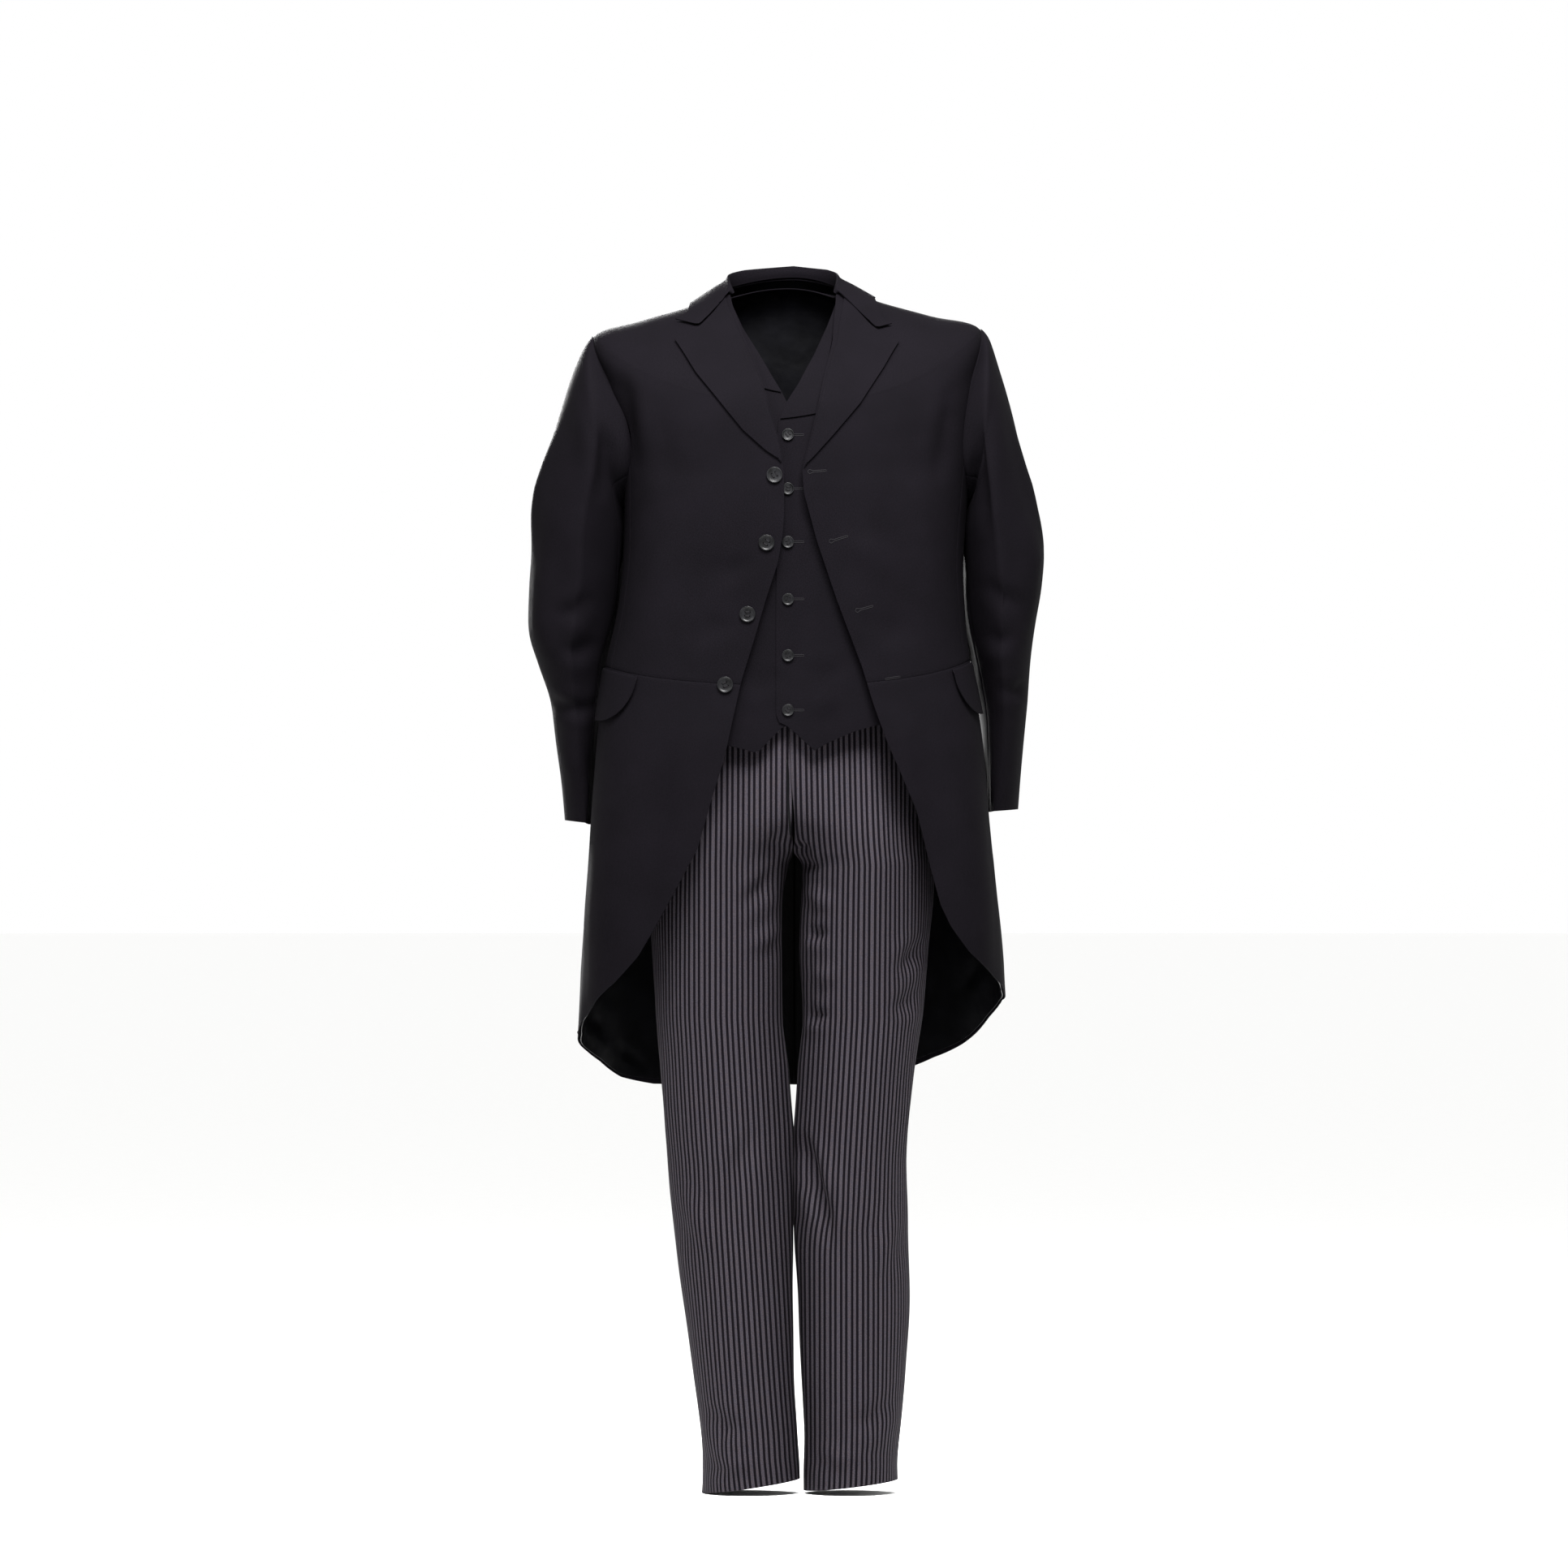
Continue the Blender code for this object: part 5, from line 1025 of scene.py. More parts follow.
def back_grid(surface, side, levels):
    """Back in one length from neck to tails; the left one laps the vent."""
    laps = (side == LEFT) & (levels > WAIST + 0.01)
    centre = np.where(laps, -90.0 - VENT_LAP_TURN, -90.0)
    share = shares(0.24)
    lift = np.clip(levels - VENT_LIFT_FROM, 0, 1) * (COAT_WALL + LAID_GAP) * (side == LEFT)
    out = lift[:, None] * np.clip(1.4 - 1.6 * share, 0, 1)
    turn = between(centre, outer_turn(levels, BACK_SEAM_TURN, -1), share)
    return trimmed(on_rows(surface, side, turn, levels, out), ("top", "start", "end"))


def skirt_grid(surface, side, levels):
    """Skirt: columns from the cutaway edge to the back seam, rows down to the hem."""
    edge = turn_at_edge(surface, side, levels, COAT_EDGE[side])
    return on_rows(surface, side, between(edge, table_at(BACK_SEAM_TURN, levels), shares(0.33)), levels)


def make_tail_linings():
    """Satin linings inside the skirts and tails, set back from their edges."""
    levels = level_rows(SKIRT_STRETCHES)
    for side in BOTH:
        surface = coat_surface(side)
        pleat = table_at(BACK_SEAM_TURN, levels)
        back = on_rows(surface, side, between(pleat, np.full_like(pleat, -90), shares(0.12)[1:]), levels)
        grid = np.concatenate([skirt_grid(surface, side, levels), back], axis=1)
        for edge, distance in LINING_SET_BACK.items():
            grid = drawn_in(grid, edge, distance)
        grid = grid - normals_of(grid, -side) * LINING_INSET
        cloth("coat_lining", side, grid, -side, SKIRT_FOLDS[side] + LINING_FOLDS[side])


def make_coat_lapels():
    """Lapels: rolled out of the front edges and laid on the fronts."""
    for side in BOTH:
        surface = coat_surface(side)
        way, share = shares(0.24), shares(0.11)
        top, outer = np.array(LAPEL_TOP[side], float), LAPEL_OUTER[side]
        outer_z = outer[0][0] + (outer[-1][0] - outer[0][0]) * way
        roll_z = top[0, 0] + (outer_z[-1] - 4 - top[0, 0]) * way
        x = between(table_at(COAT_EDGE[side], roll_z) + side * 1.5, table_at(outer, outer_z), share)
        z = between(roll_z, outer_z, share)
        fade = (1 - way[:, None]) ** 2
        top_z, top_x = (np.interp(share, np.linspace(0, 1, len(top)), column) for column in top.T)
        x, z = x + fade * (top_x - x[0]), z + fade * (top_z - z[0])
        guess = 1.0 + 5.2 * way[:, None] * np.ones_like(share)
        turn, level = find_from_front(surface, x * MM, z * MM, guess)
        roll = LAPEL_ROLL * np.sin(np.pi * share / 2) * (1 - 0.7 * way[:, None])
        grid = on_form(surface, side, turn, level, COAT_WALL + LAID_GAP + LAPEL_LIFT + roll)
        cloth("coat_lapel", side, grid, -side, FRONT_FOLDS[side])


def collar_half(side, count):
    """One half of the collar, from its end to the back: rows foot, middle, fold, two of the fall, edge."""
    surface = coat_surface(side)
    out = COAT_WALL + LAID_GAP + COLLAR_LIFT
    z, x = np.array(COLLAR_END[side], float).T * MM
    end = on_form(surface, side, *find_from_front(surface, x, z, 0.8), out)
    way = np.linspace(0, 1, count)
    turns, heights, fall_levels = zip(*COLLAR_LINE[side])
    turn = turns[0] + (-90 - turns[0]) * way
    neck = on_form(surface, side, turn, 0.0)
    inward = np.array([COAT_MIDDLE, COLLAR_CENTRE_DEPTH, 0]) * MM - neck
    inward[:, 2] = 0
    inward = unit(inward)
    fold = neck + inward * COLLAR_FOLD_IN
    fold[:, 2] = table_at(list(zip(turns, heights)), turn) * MM
    outer = on_form(surface, side, turn, table_at(list(zip(turns, fall_levels)), turn), out)
    rows = [fold + (outer - fold) * np.array([away, away, down]) for away, down in COLLAR_FALL_ROWS]
    rows = zip([fold, *rows, outer], end)
    near_end = np.clip(1 - way * 3.2, 0, 1)[:, None] ** 1.6
    fall = np.array([row * (1 - near_end) + point * near_end for row, point in rows])
    foot = neck + inward * COLLAR_STAND_IN + np.array([0, 0, COLLAR_FOOT_RISE])
    end_foot = fall[0] + inward * COLLAR_END_IN - np.array([0, 0, COLLAR_END_DROP])
    foot = foot * (1 - near_end) + end_foot * near_end
    middle = (foot + fall[0]) / 2 + inward * COLLAR_BULGE
    return np.concatenate([foot[None], middle[None], fall])


def make_coat_collar():
    """Collar: a stand inside the neck that folds over into a fall, with its ends cut straight."""
    left, right = (collar_half(side, len(shares(0.24))) for side in BOTH)
    rows = np.concatenate([left, right[:, -2::-1]], axis=1)
    level = shares(0.09, 0.6) * (len(rows) - 1)
    low = np.minimum(level.astype(int), len(rows) - 2)
    straight = rows[low] + (rows[low + 1] - rows[low]) * (level - low)[:, None, None]
    place = np.linspace(0, 1, rows.shape[1])
    near_end = np.clip(1 - np.minimum(place, 1 - place) * 10, 0, 1)[:, None]
    cloth("coat_collar", None, resampled(rows, len(level)) * (1 - near_end) + straight * near_end, 1)


def clear_of_body(surface, side, rings):
    """Push a sleeve's points out where the coat's body or flap would touch them."""
    y, z = rings[..., 1], rings[..., 2]
    levels = np.linspace(*CLEARANCE_LEVELS, 60)
    level = np.interp(-z, -surface(np.zeros_like(levels), levels)[:, 2], levels)
    points = surface(np.linspace(-80, 80, 81)[:, None, None], level[None])
    nearest = np.argmin(np.abs(points[..., 1] - y[None]), axis=0)
    width = side * np.take_along_axis(points[..., 0], nearest[None], axis=0)[0]
    by_flap = np.clip((FLAP_GAP_FROM - z) / FLAP_GAP_WAY, 0, 1)
    least = width + CHEST_GAP + by_flap * (FLAP_GAP - CHEST_GAP)
    touches = (z < CHEST_GAP_FROM) & (side * rings[..., 0] < least)
    rings[..., 0] = np.where(touches, side * least, rings[..., 0])
    return rings


def sleeve_grid(side):
    """Rings of points down a sleeve from the armhole to the cuff, each with its first point repeated."""
    surface = coat_surface(side)
    around = steps(0.50, look().cloth_step)
    around += -around % SLEEVE_SEGMENTS
    angle = np.linspace(0, 2 * math.pi, around + 1)
    hole = (ARMHOLE_TURN * np.sin(angle), ARMHOLE_CENTRE - ARMHOLE_HALF * np.cos(angle))
    rings = []
    for ends, depths in zip(SLEEVE_ENDS[side], SLEEVE_DEPTHS):
        x_outer, z_outer, x_inner, z_inner = np.array(ends) * MM
        y_front, y_back, tuck = np.array(depths) * MM
        middle = np.array([x_outer + x_inner, y_front + y_back, z_outer + z_inner]) / 2
        across = np.array([x_outer - x_inner, 0, z_outer - z_inner]) / 2
        points = middle + np.cos(angle)[:, None] * across
        points[:, 1] += tuck * np.maximum(-np.cos(angle), 0) - np.sin(angle) * (y_back - y_front) / 2
        rings.append(points)
    rings = clear_of_body(surface, side, np.array(rings))
    rings = np.concatenate([on_form(surface, side, *hole, ARMHOLE_OUT)[None], rings])
    turned_in = on_form(surface, side, *hole, -ARMHOLE_TURNING)
    return np.concatenate([turned_in[None], resampled(rings, len(shares(0.62)))])


def make_coat_sleeves():
    """Two-piece sleeves: a top sleeve outside and an under sleeve against the body."""
    for side in BOTH:
        grid = sleeve_grid(side)
        around = grid.shape[1] - 1
        fore, hind = (seam * around // SLEEVE_SEGMENTS for seam in (FORE_SEAM, HIND_SEAM))
        twice = np.concatenate([grid[:, :-1], grid], axis=1)
        for kind, part in (("coat_top_sleeve", twice[:, hind:around + fore + 1]),
                           ("coat_under_sleeve", grid[:, fore:hind + 1])):
            part = trimmed(part, ("start", "end"), SLEEVE_SEAM_GAP)
            cloth(kind, side, part, side, SLEEVE_FOLDS[side])


def make_coat_flaps():
    """Hip flaps: rounded at both ends, hung from the waist seam and standing off at the lower edge."""
    for side in BOTH:
        surface = coat_surface(side)
        level_top = WAIST + 0.03
        turns = np.linspace(0, 90, 181)
        reach = side * surface(turns, np.full_like(turns, level_top))[:, 0]
        start = np.interp(-side * FLAP_START_X[side] * MM, -reach, turns)
        share = (1 - np.cos(math.pi * shares(0.15))) / 2
        turn = start + (FLAP_END_TURN - start) * share
        depth = np.maximum(FLAP_DEPTH * (1 - np.abs(1 - 2 * share) ** 2.6) ** 0.5, 5) * MM
        way = shares(0.066)[:, None]
        top_z = surface(turn, np.full_like(turn, level_top))[:, 2]
        bottom = level_at_height(surface, turn, top_z - depth, WAIST, 11.0)
        level = level_top + (bottom - level_top) * way
        lift = FLAP_LIFT_TOP + (FLAP_LIFT_EDGE - FLAP_LIFT_TOP) * way
        cloth("coat_flap", side, on_form(surface, side, turn, level, lift), -side, SKIRT_FOLDS[side])


def make_waistcoat():
    """Waistcoat: fronts that lap at the middle, a back and two lapels."""
    upper = level_rows(VEST_STRETCHES)
    share = shares(0.24)
    halves = []
    for side in BOTH:
        surface = vest_surface(side)
        outer = vest_outer_turn(upper, "front")
        edge = np.maximum(turn_at_edge(surface, side, upper, VEST_EDGE[side]), outer + LEAST_STRAP_TURN)
        turn = between(edge, outer, share)
        turn_low, level_low = vest_low_rows(surface, side, share)
        level = np.concatenate([np.broadcast_to(upper[:, None], turn.shape), level_low])
        turn = np.concatenate([turn, turn_low])
        lap = side * VEST_LAP * np.clip(1.6 - 2 * share, 0, 1) * np.clip(level - 1.3, 0, 1)
        grid = trimmed(on_form(surface, side, turn, level, lap), ("top", "end"))
        cloth("vest_front", side, grid, -side, VEST_FOLDS)
        halves.append(vest_back_half(surface, side, upper))
        make_vest_lapel(surface, side)
    cloth("vest_back", None, np.concatenate([halves[0], halves[1][:, -2::-1]], axis=1), 1, BACK_FOLDS[LEFT])


def vest_low_rows(surface, side, share):
    """Turns and levels of a waistcoat front below the armhole; the last row is the pointed hem."""
    way = shares(0.24)[1:]
    low_edge = level_at_height(surface, 88.0, VEST_EDGE_FOOT * MM, *VEST_HEM_LEVELS)
    edge = turn_at_edge(surface, side, VEST_UNDERARM + (low_edge - VEST_UNDERARM) * way, VEST_EDGE[side])
    turn = edge[:, None] * (1 - share)
    x = surface(turn, np.full_like(turn, 7.8))[..., 0] / MM
    bottom = level_at_height(surface, turn, table_at(VEST_HEM[side], x) * MM, *VEST_HEM_LEVELS)
    return turn, VEST_UNDERARM + (bottom - VEST_UNDERARM) * way[:, None]


def vest_back_half(surface, side, upper):
    """Half of the waistcoat's back, from the side seam to the middle."""
    lowest = level_at_height(surface, 0.0, VEST_BACK_HEM * MM, *VEST_HEM_LEVELS)
    levels = np.concatenate([upper, VEST_UNDERARM + (lowest - VEST_UNDERARM) * shares(0.24)[1:]])
    outer = vest_outer_turn(np.minimum(levels, VEST_UNDERARM), "back")
    turn = between(outer, np.full_like(outer, -90), shares(0.22))
    return trimmed(on_rows(surface, side, turn, levels), ("top", "start"))


def make_vest_lapel(surface, side):
    """One lapel of the waistcoat, laid on its front along the neckline."""
    first, last = VEST_LAPEL_LEVELS[side]
    narrow, wide = VEST_LAPEL_WIDTH[side]
    way, share = shares(0.2), shares(0.045)
    levels = first + (last - first) * way
    edge = turn_at_edge(surface, side, levels, VEST_EDGE[side])
    width = (narrow + (wide - narrow) * way) * MM
    radius = np.linalg.norm(surface(edge, levels) - surface(edge - 1, levels), axis=-1)
    outer = edge - np.minimum(width / radius, (edge - 2) * 0.8)
    turn = between(edge, outer, share) - 0.4
    level = levels[:, None] - 0.12 * share * way[:, None]
    out = VEST_WALL + LAID_GAP + VEST_LAPEL_LIFT[side]
    cloth("vest_lapel", side, on_form(surface, side, turn, level, out), -side, VEST_FOLDS)


def make_trousers():
    """Trouser fronts and backs with their stripes along the grain, the waistband and the fly facing."""
    levels = shares(TROUSER_ROW_LENGTH) * (len(TROUSER_DEPTHS) - 1)
    share = shares(0.25)
    for side in BOTH:
        for face, kind in ((1, "trouser_front"), (-1, "trouser_back")):
            grid = trimmed(trouser_point(side, face, share[None], levels[:, None]), ("top", "start", "end"))
            grain = table_at(TROUSER_GRAIN[side], levels) * MM
            cloth(kind, side, grid, side * face, TROUSER_FOLDS[side], grain)
    share = shares(0.24)
    ring = np.concatenate([
        trouser_point(LEFT, 1, share, 0), trouser_point(RIGHT, 1, share[::-1], 0)[1:],
        trouser_point(RIGHT, -1, share, 0)[1:], trouser_point(LEFT, -1, share[::-1], 0)[1:]])
    height = np.linspace(WAISTBAND_HEIGHT * MM, SEAM_GAP, WAISTBAND_ROWS)[:, None, None]
    cloth("trouser_waistband", None, ring[None] + height * np.array([0, 0, 1.0]), -1, closed=True)
    grid = trouser_point(RIGHT, 1, np.array([FLY_SHARES]), np.array([FLY_LEVELS]).T)
    for edge, distance in (("top", FLY_TOP_GAP), ("start", FLY_WIDTH_CUT), ("end", TROUSER_WALL)):
        grid = trimmed(grid, (edge,), distance)
    grid = resampled(grid - normals_of(grid, RIGHT) * FLY_INSET, 40)
    grid = np.swapaxes(resampled(np.swapaxes(grid, 0, 1), 12), 0, 1)
    cloth("trouser_fly", None, grid, 1, TROUSER_FOLDS[RIGHT])


def make_button(name, size):
    """Model of a four-hole button: a turned disc with a raised rim, drilled and crossed by its thread."""
    radius, height, rim, dish = (size[key] for key in ("radius", "height", "rim", "dish"))
    bpy.ops.object.select_all(action="DESELECT")
    bpy.ops.mesh.primitive_cylinder_add(vertices=40, radius=radius, depth=height, location=(0, 0, height / 2))
    disc = bpy.context.active_object
    disc.name = disc.data.name = name
    bpy.ops.object.transform_apply(location=True, rotation=True, scale=True)
    bpy.ops.object.mode_set(mode="EDIT")
    bpy.ops.mesh.select_mode(type="FACE")
    bpy.ops.mesh.select_all(action="DESELECT")
    bpy.ops.object.mode_set(mode="OBJECT")
    for face in disc.data.polygons:
        face.select = face.normal.z > 0.9
    bpy.ops.object.mode_set(mode="EDIT")
    for width, sunk in ((rim * 0.45, 0), (rim * 0.55, dish), (radius * 0.30, dish * 0.25)):
        bpy.ops.mesh.inset(thickness=width)
        bpy.ops.transform.translate(value=(0, 0, -sunk))
    bpy.ops.object.mode_set(mode="OBJECT")
    apply_modifier(disc, "BEVEL", width=dish * 0.45, segments=3, limit_method="ANGLE",
                   angle_limit=math.radians(25))
    disc.data.materials.append(finish("button_horn"))
    disc.data.materials.append(finish("thread"))
    bore, apart = radius * 0.125, radius * 0.25
    drill = joined([rod(14, bore, height * 3, (x * apart, y * apart, height / 2))
                    for x, y in ((1, 1), (1, -1), (-1, 1), (-1, -1))])
    apply_modifier(disc, "BOOLEAN", operation="DIFFERENCE", object=drill, solver="EXACT")
    bpy.data.meshes.remove(drill.data)
    thread_height = height - dish * 1.25
    strands = []
    for x in (-1, 1):
        for place in (-0.45, 0.0, 0.45):
            top = thread_height + bore * (0.5 - abs(place) * 0.3)
            strands.append(rod(8, bore * 0.34, apart * 2.1, (x * apart + place * bore, 0, top), math.pi / 2))
            strands[-1].data.materials.append(finish("thread"))
    joined(strands + [disc])
    bpy.ops.object.shade_smooth_by_angle(angle=math.radians(35))
    return disc


def rod(sides, radius, length, place, tilt=0.0):
    """A plain cylinder."""
    bpy.ops.mesh.primitive_cylinder_add(vertices=sides, radius=radius, depth=length, location=place,
                                        rotation=(tilt, 0, 0))
    return bpy.context.active_object


def joined(parts):
    """Objects joined into the last of them."""
    bpy.ops.object.select_all(action="DESELECT")
    for part in parts:
        part.select_set(True)
    bpy.context.view_layer.objects.active = parts[-1]
    bpy.ops.object.join()
    return parts[-1]


def sew_on(model, node, surface, side, turn, level, out, twist):
    """Copy of a button sewn on a form at a distance out from it, twisted a little about its own axis."""
    piece = model.copy()
    piece.data = model.data.copy()
    piece.name = piece.data.name = f"{node}_sewn"
    bpy.context.scene.collection.objects.link(piece)
    normal = unit(on_form(surface, side, turn, level, 0.001) - surface(turn, level))
    across = unit(np.cross((0, 0, 1), normal))
    up = np.cross(normal, across)
    sideways = across * math.cos(twist) + up * math.sin(twist)
    axes = np.stack([sideways, np.cross(normal, sideways), normal], axis=1)
    points = np.zeros(len(piece.data.vertices) * 3)
    piece.data.vertices.foreach_get("co", points)
    points = points.reshape(-1, 3) @ axes.T + on_form(surface, side, turn, level, out)
    piece.data.vertices.foreach_set("co", points.reshape(-1))
    piece.data.update()
    finish_piece(piece, node)


def make_buttons():
    """Four front buttons, six on the waistcoat and two at the back waist, from one model for each size."""
    coat_model = make_button("coat_button_model", COAT_BUTTON)
    vest_model = make_button("vest_button_model", VEST_BUTTON)
    coat, vest = coat_surface(LEFT), vest_surface(LEFT)
    on_coat = COAT_WALL / 2 + BUTTON_SHANK
    on_vest = VEST_LAP + VEST_WALL / 2 + BUTTON_SHANK
    for number, (x, z) in enumerate(COAT_BUTTONS, 1):
        place = find_from_front(coat, x * MM, z * MM, 7.0 + number * 0.8)
        sew_on(coat_model, f"coat_button_{number}", coat, LEFT, *place, on_coat, 0.5 * number)
    for number, (x, z) in enumerate(VEST_BUTTONS, 1):
        place = find_from_front(vest, x * MM, z * MM, 3.0 + number * 0.8, 85.0)
        sew_on(vest_model, f"vest_button_{number}", vest, LEFT, *place, on_vest, 0.7 * number)
    for number, side in enumerate(BOTH, 1):
        place = np.array(BACK_BUTTON_TURN), np.array(BACK_BUTTON_LEVEL)
        sew_on(coat_model, f"coat_back_button_{number}", coat_surface(side), side, *place,
               on_coat + BACK_BUTTON_LIFT, 0.3)
    for model in (coat_model, vest_model):
        bpy.data.meshes.remove(model.data)


def seen_from_front(piece, path):
    """Points of a path drawn from the front, found on a cloth piece, and the cloth's outward directions."""
    places, normals = [], []
    for x, z in path:
        found, place, normal, _ = piece.ray_cast((x * MM, -1.0, z * MM), (0.0, 1.0, 0.0))
        if not found:
            raise RuntimeError(f"{piece.name}: no cloth under the sewing at {x:.0f}, {z:.0f} mm")
        places.append(tuple(place))
        normals.append(tuple(normal))
    return np.array(places), np.array(normals)


def sew_line(name, cloth_name, path, width, closed=False, key="thread"):
    """Raised line of thread laid on a cloth piece along a path drawn from the front; given the black satin
    finish it is a line of painted shadow.
    """
    bpy.context.view_layer.update()
    places, normals = seen_from_front(bpy.data.objects[f"{cloth_name}_cloth"], path)
    places = places + normals * width * 0.12
    if closed:
        along = np.roll(places, -1, axis=0) - np.roll(places, 1, axis=0)
    else:
        along = np.gradient(places, axis=0)
    across = unit(np.cross(along, normals))
    angle = np.linspace(0, 2 * math.pi, THREAD_SIDES + 1)[None, :, None]
    swell = np.ones((len(places), 1, 1))
    if not closed:
        swell[[0, -1]] = 0.02
    grid = places[:, None] + (across[:, None] * np.cos(angle) * width * 0.5
                              + normals[:, None] * np.sin(angle) * width * 0.3) * swell
    if closed:
        grid = np.concatenate([grid, grid[:1]])
    line = grid_mesh(name, grid)
    merge_points(4e-5, outward=True)
    line.data.materials.append(finish(key))
    bpy.ops.object.shade_smooth()
    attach(line, BODY)


def buttonhole_path(start, end, eye):
    """Outline of the stitches round a buttonhole, with a round eye at its start where it has one."""
    start, end = np.array(start, float), np.array(end, float)
    length = np.linalg.norm(end - start)
    along = (end - start) / length
    across = np.array([-along[1], along[0]])
    if eye:
        outline = [(eye + eye * math.cos(angle), eye * math.sin(angle))
                   for angle in np.linspace(math.radians(42), math.radians(318), 16)]
    else:
        outline = [(0.0, BUTTONHOLE_HALF), (0.0, -BUTTONHOLE_HALF)]
    first = outline[-1][0]
    rows = first + (length - first) * np.linspace(0.1, 1, 12)
    outline += [(place, -BUTTONHOLE_HALF) for place in rows]
    outline += [(place, BUTTONHOLE_HALF) for place in rows[::-1]]
    return [tuple(start + along * u + across * v) for u, v in outline]


def make_buttonholes():
    """Keyhole buttonholes on the coat's right front, one in its waist seam and six on the waistcoat."""
    for number, (start, end) in enumerate(COAT_BUTTONHOLES, 1):
        path = buttonhole_path(start, end, KEYHOLE_EYE)
        sew_line(f"coat_buttonhole_{number}", "coat_front_right", path, COAT_TWIST, True)
    path = buttonhole_path(*WAIST_BUTTONHOLE, 0)
    sew_line("coat_waist_buttonhole", "coat_front_right", path, COAT_TWIST, True)
    for number, (x, z) in enumerate(VEST_BUTTONS, 1):
        path = buttonhole_path((x + VEST_BUTTONHOLE[0], z), (x + VEST_BUTTONHOLE[1], z), 0)
        sew_line(f"vest_buttonhole_{number}", "vest_front_right", path, VEST_TWIST, True)


def make_fly_sewing():
    """Fly: the line of stitches that curves to its foot, the bar tack there, and a strip of black satin along
    its edge that is painted shadow.
    """
    path = np.array(FLY_STITCHES, float)
    run = run_of(np.linalg.norm(np.diff(path, axis=0), axis=1))
    for number, first in enumerate(np.arange(0, run[-1] - STITCH_LENGTH, STITCH_LENGTH + STITCH_GAP), 1):
        places = first + np.array([0, 0.5, 1]) * STITCH_LENGTH
        ends = np.stack([np.interp(places, run, path[:, axis]) for axis in (0, 1)], axis=1)
        stitch = (ends[0], (ends[0] + ends[2]) / 2, ends[2])
        sew_line(f"fly_stitch_{number}", "trouser_front_right", stitch, STITCH_WIDTH)
    sew_line("fly_bar_tack", "trouser_front_right", BAR_TACK, BAR_TACK_WIDTH)
    # The fly's edge is a black satin strip: painted shadow where the fly's fold would shade, not a seam or
    # piping
    sew_line("fly_edge_line", "trouser_front_left", FLY_SHADOW_PATH, FLY_SHADOW_WIDTH, key="lining_satin")


BUTTON_SHANK, BACK_BUTTON_LIFT = 0.35 * MM, 0.4 * MM
THREAD_SIDES = 8
# Buttonholes in mm: half the distance between their two rows of stitches, the eye's radius and the thread's
# width; each coat one runs back from its eye to its end
BUTTONHOLE_HALF, KEYHOLE_EYE = 1.0, 2.5
COAT_TWIST, VEST_TWIST = 1.1 * MM, 1.0 * MM
COAT_BUTTONHOLES = (((26, -221), (49, -219.5)), ((53, -309), (76, -302)), ((86, -396), (108, -390)))
WAIST_BUTTONHOLE = ((123.6, -482), (142, -479))
# Waistcoat buttonholes: where they start and end, across from the button's middle
VEST_BUTTONHOLE = (6.0, 20.0)
# Fly sewing as drawn from the front, in mm
FLY_STITCHES = ((30, -578), (30, -600), (29, -630), (26, -652), (20, -671), (13, -683))
STITCH_LENGTH, STITCH_GAP, STITCH_WIDTH = 2.4, 0.9, 0.55 * MM
BAR_TACK = ((13, -686), (15, -689), (17, -692), (18, -695))
BAR_TACK_WIDTH = 2.2 * MM
# Path and width of the black satin strip that paints the shadow along the fly's edge
FLY_SHADOW_PATH = ((0, -576), (0, -590), (1, -606), (1, -622), (1, -638), (2, -652), (3, -664), (4, -676),
            (6, -687))
FLY_SHADOW_WIDTH = 3.2 * MM


def length(name, description, default, **limits):
    """Setting for a length in metres."""
    return bpy.props.FloatProperty(name=name, description=description, default=default, unit="LENGTH",
                                   **limits)


def colour(name, description, default):
    """Setting for a colour, from its sRGB hex."""
    return bpy.props.FloatVectorProperty(name=name, description=description, default=linear(default), size=4,
                                         subtype="COLOR")


class MorningSuitSettings(bpy.types.PropertyGroup):
    """Sizes and colours of the suit that a user would change."""
    cloth_step: length("Cloth step", "Distance between the rows and columns of a cloth piece", 5.5 * MM,
                       min=2 * MM, max=20 * MM)
    coat_wall: length("Coat cloth", "Thickness of the coat's cloth", COAT_WALL)
    waistcoat_wall: length("Waistcoat cloth", "Thickness of the waistcoat's cloth", VEST_WALL)
    trouser_wall: length("Trouser cloth", "Thickness of the trousers' cloth", TROUSER_WALL)
    lining_wall: length("Lining cloth", "Thickness of the tail linings", LINING_WALL)
    fold_strength: bpy.props.FloatProperty(
        name="Folds", description="Share of the folds' own depths", default=1.8, min=0.0, max=3.0,
        subtype="FACTOR")
    cloth_unevenness: length("Unevenness", "Height of the slow waves in the cloth", 0.5 * MM)
    seam_roll: length("Seam roll", "How deep the cloth turns in at a seam", 0.9 * MM)
    coat_colour: colour("Coat", "Colour of the coat's wool", "#050406")
    waistcoat_colour: colour("Waistcoat", "Colour of the waistcoat's wool", "#050406")
    trouser_colour: colour("Trousers", "Grey between the stripes", "#211F22")
    stripe_colour: colour("Stripes", "Colour of the stripes", "#040305")
    lining_colour: colour("Lining", "Colour of the satin", "#030304")
    button_colour: colour("Buttons", "Colour of the horn", "#060607")
    thread_colour: colour("Thread", "Colour of the sewing", "#070608")
    floor_colour: colour("Floor", "Colour of the studio's paper", "#FCFCFB")


class MORNINGSUIT_OT_coat_body(bpy.types.Operator):
    """Make the coat's fronts, side bodies, backs, skirts and tail linings"""
    bl_idname = "morningsuit.coat_body"
    bl_label = "Coat Body"

    def execute(self, context):
        make_coat_body()
        make_tail_linings()
        return {"FINISHED"}


class MORNINGSUIT_OT_coat_trim(bpy.types.Operator):
    """Make the coat's lapels, collar, sleeves and hip flaps"""
    bl_idname = "morningsuit.coat_trim"
    bl_label = "Coat Collar, Sleeves and Flaps"

    def execute(self, context):
        make_coat_lapels()
        make_coat_collar()
        make_coat_sleeves()
        make_coat_flaps()
        return {"FINISHED"}


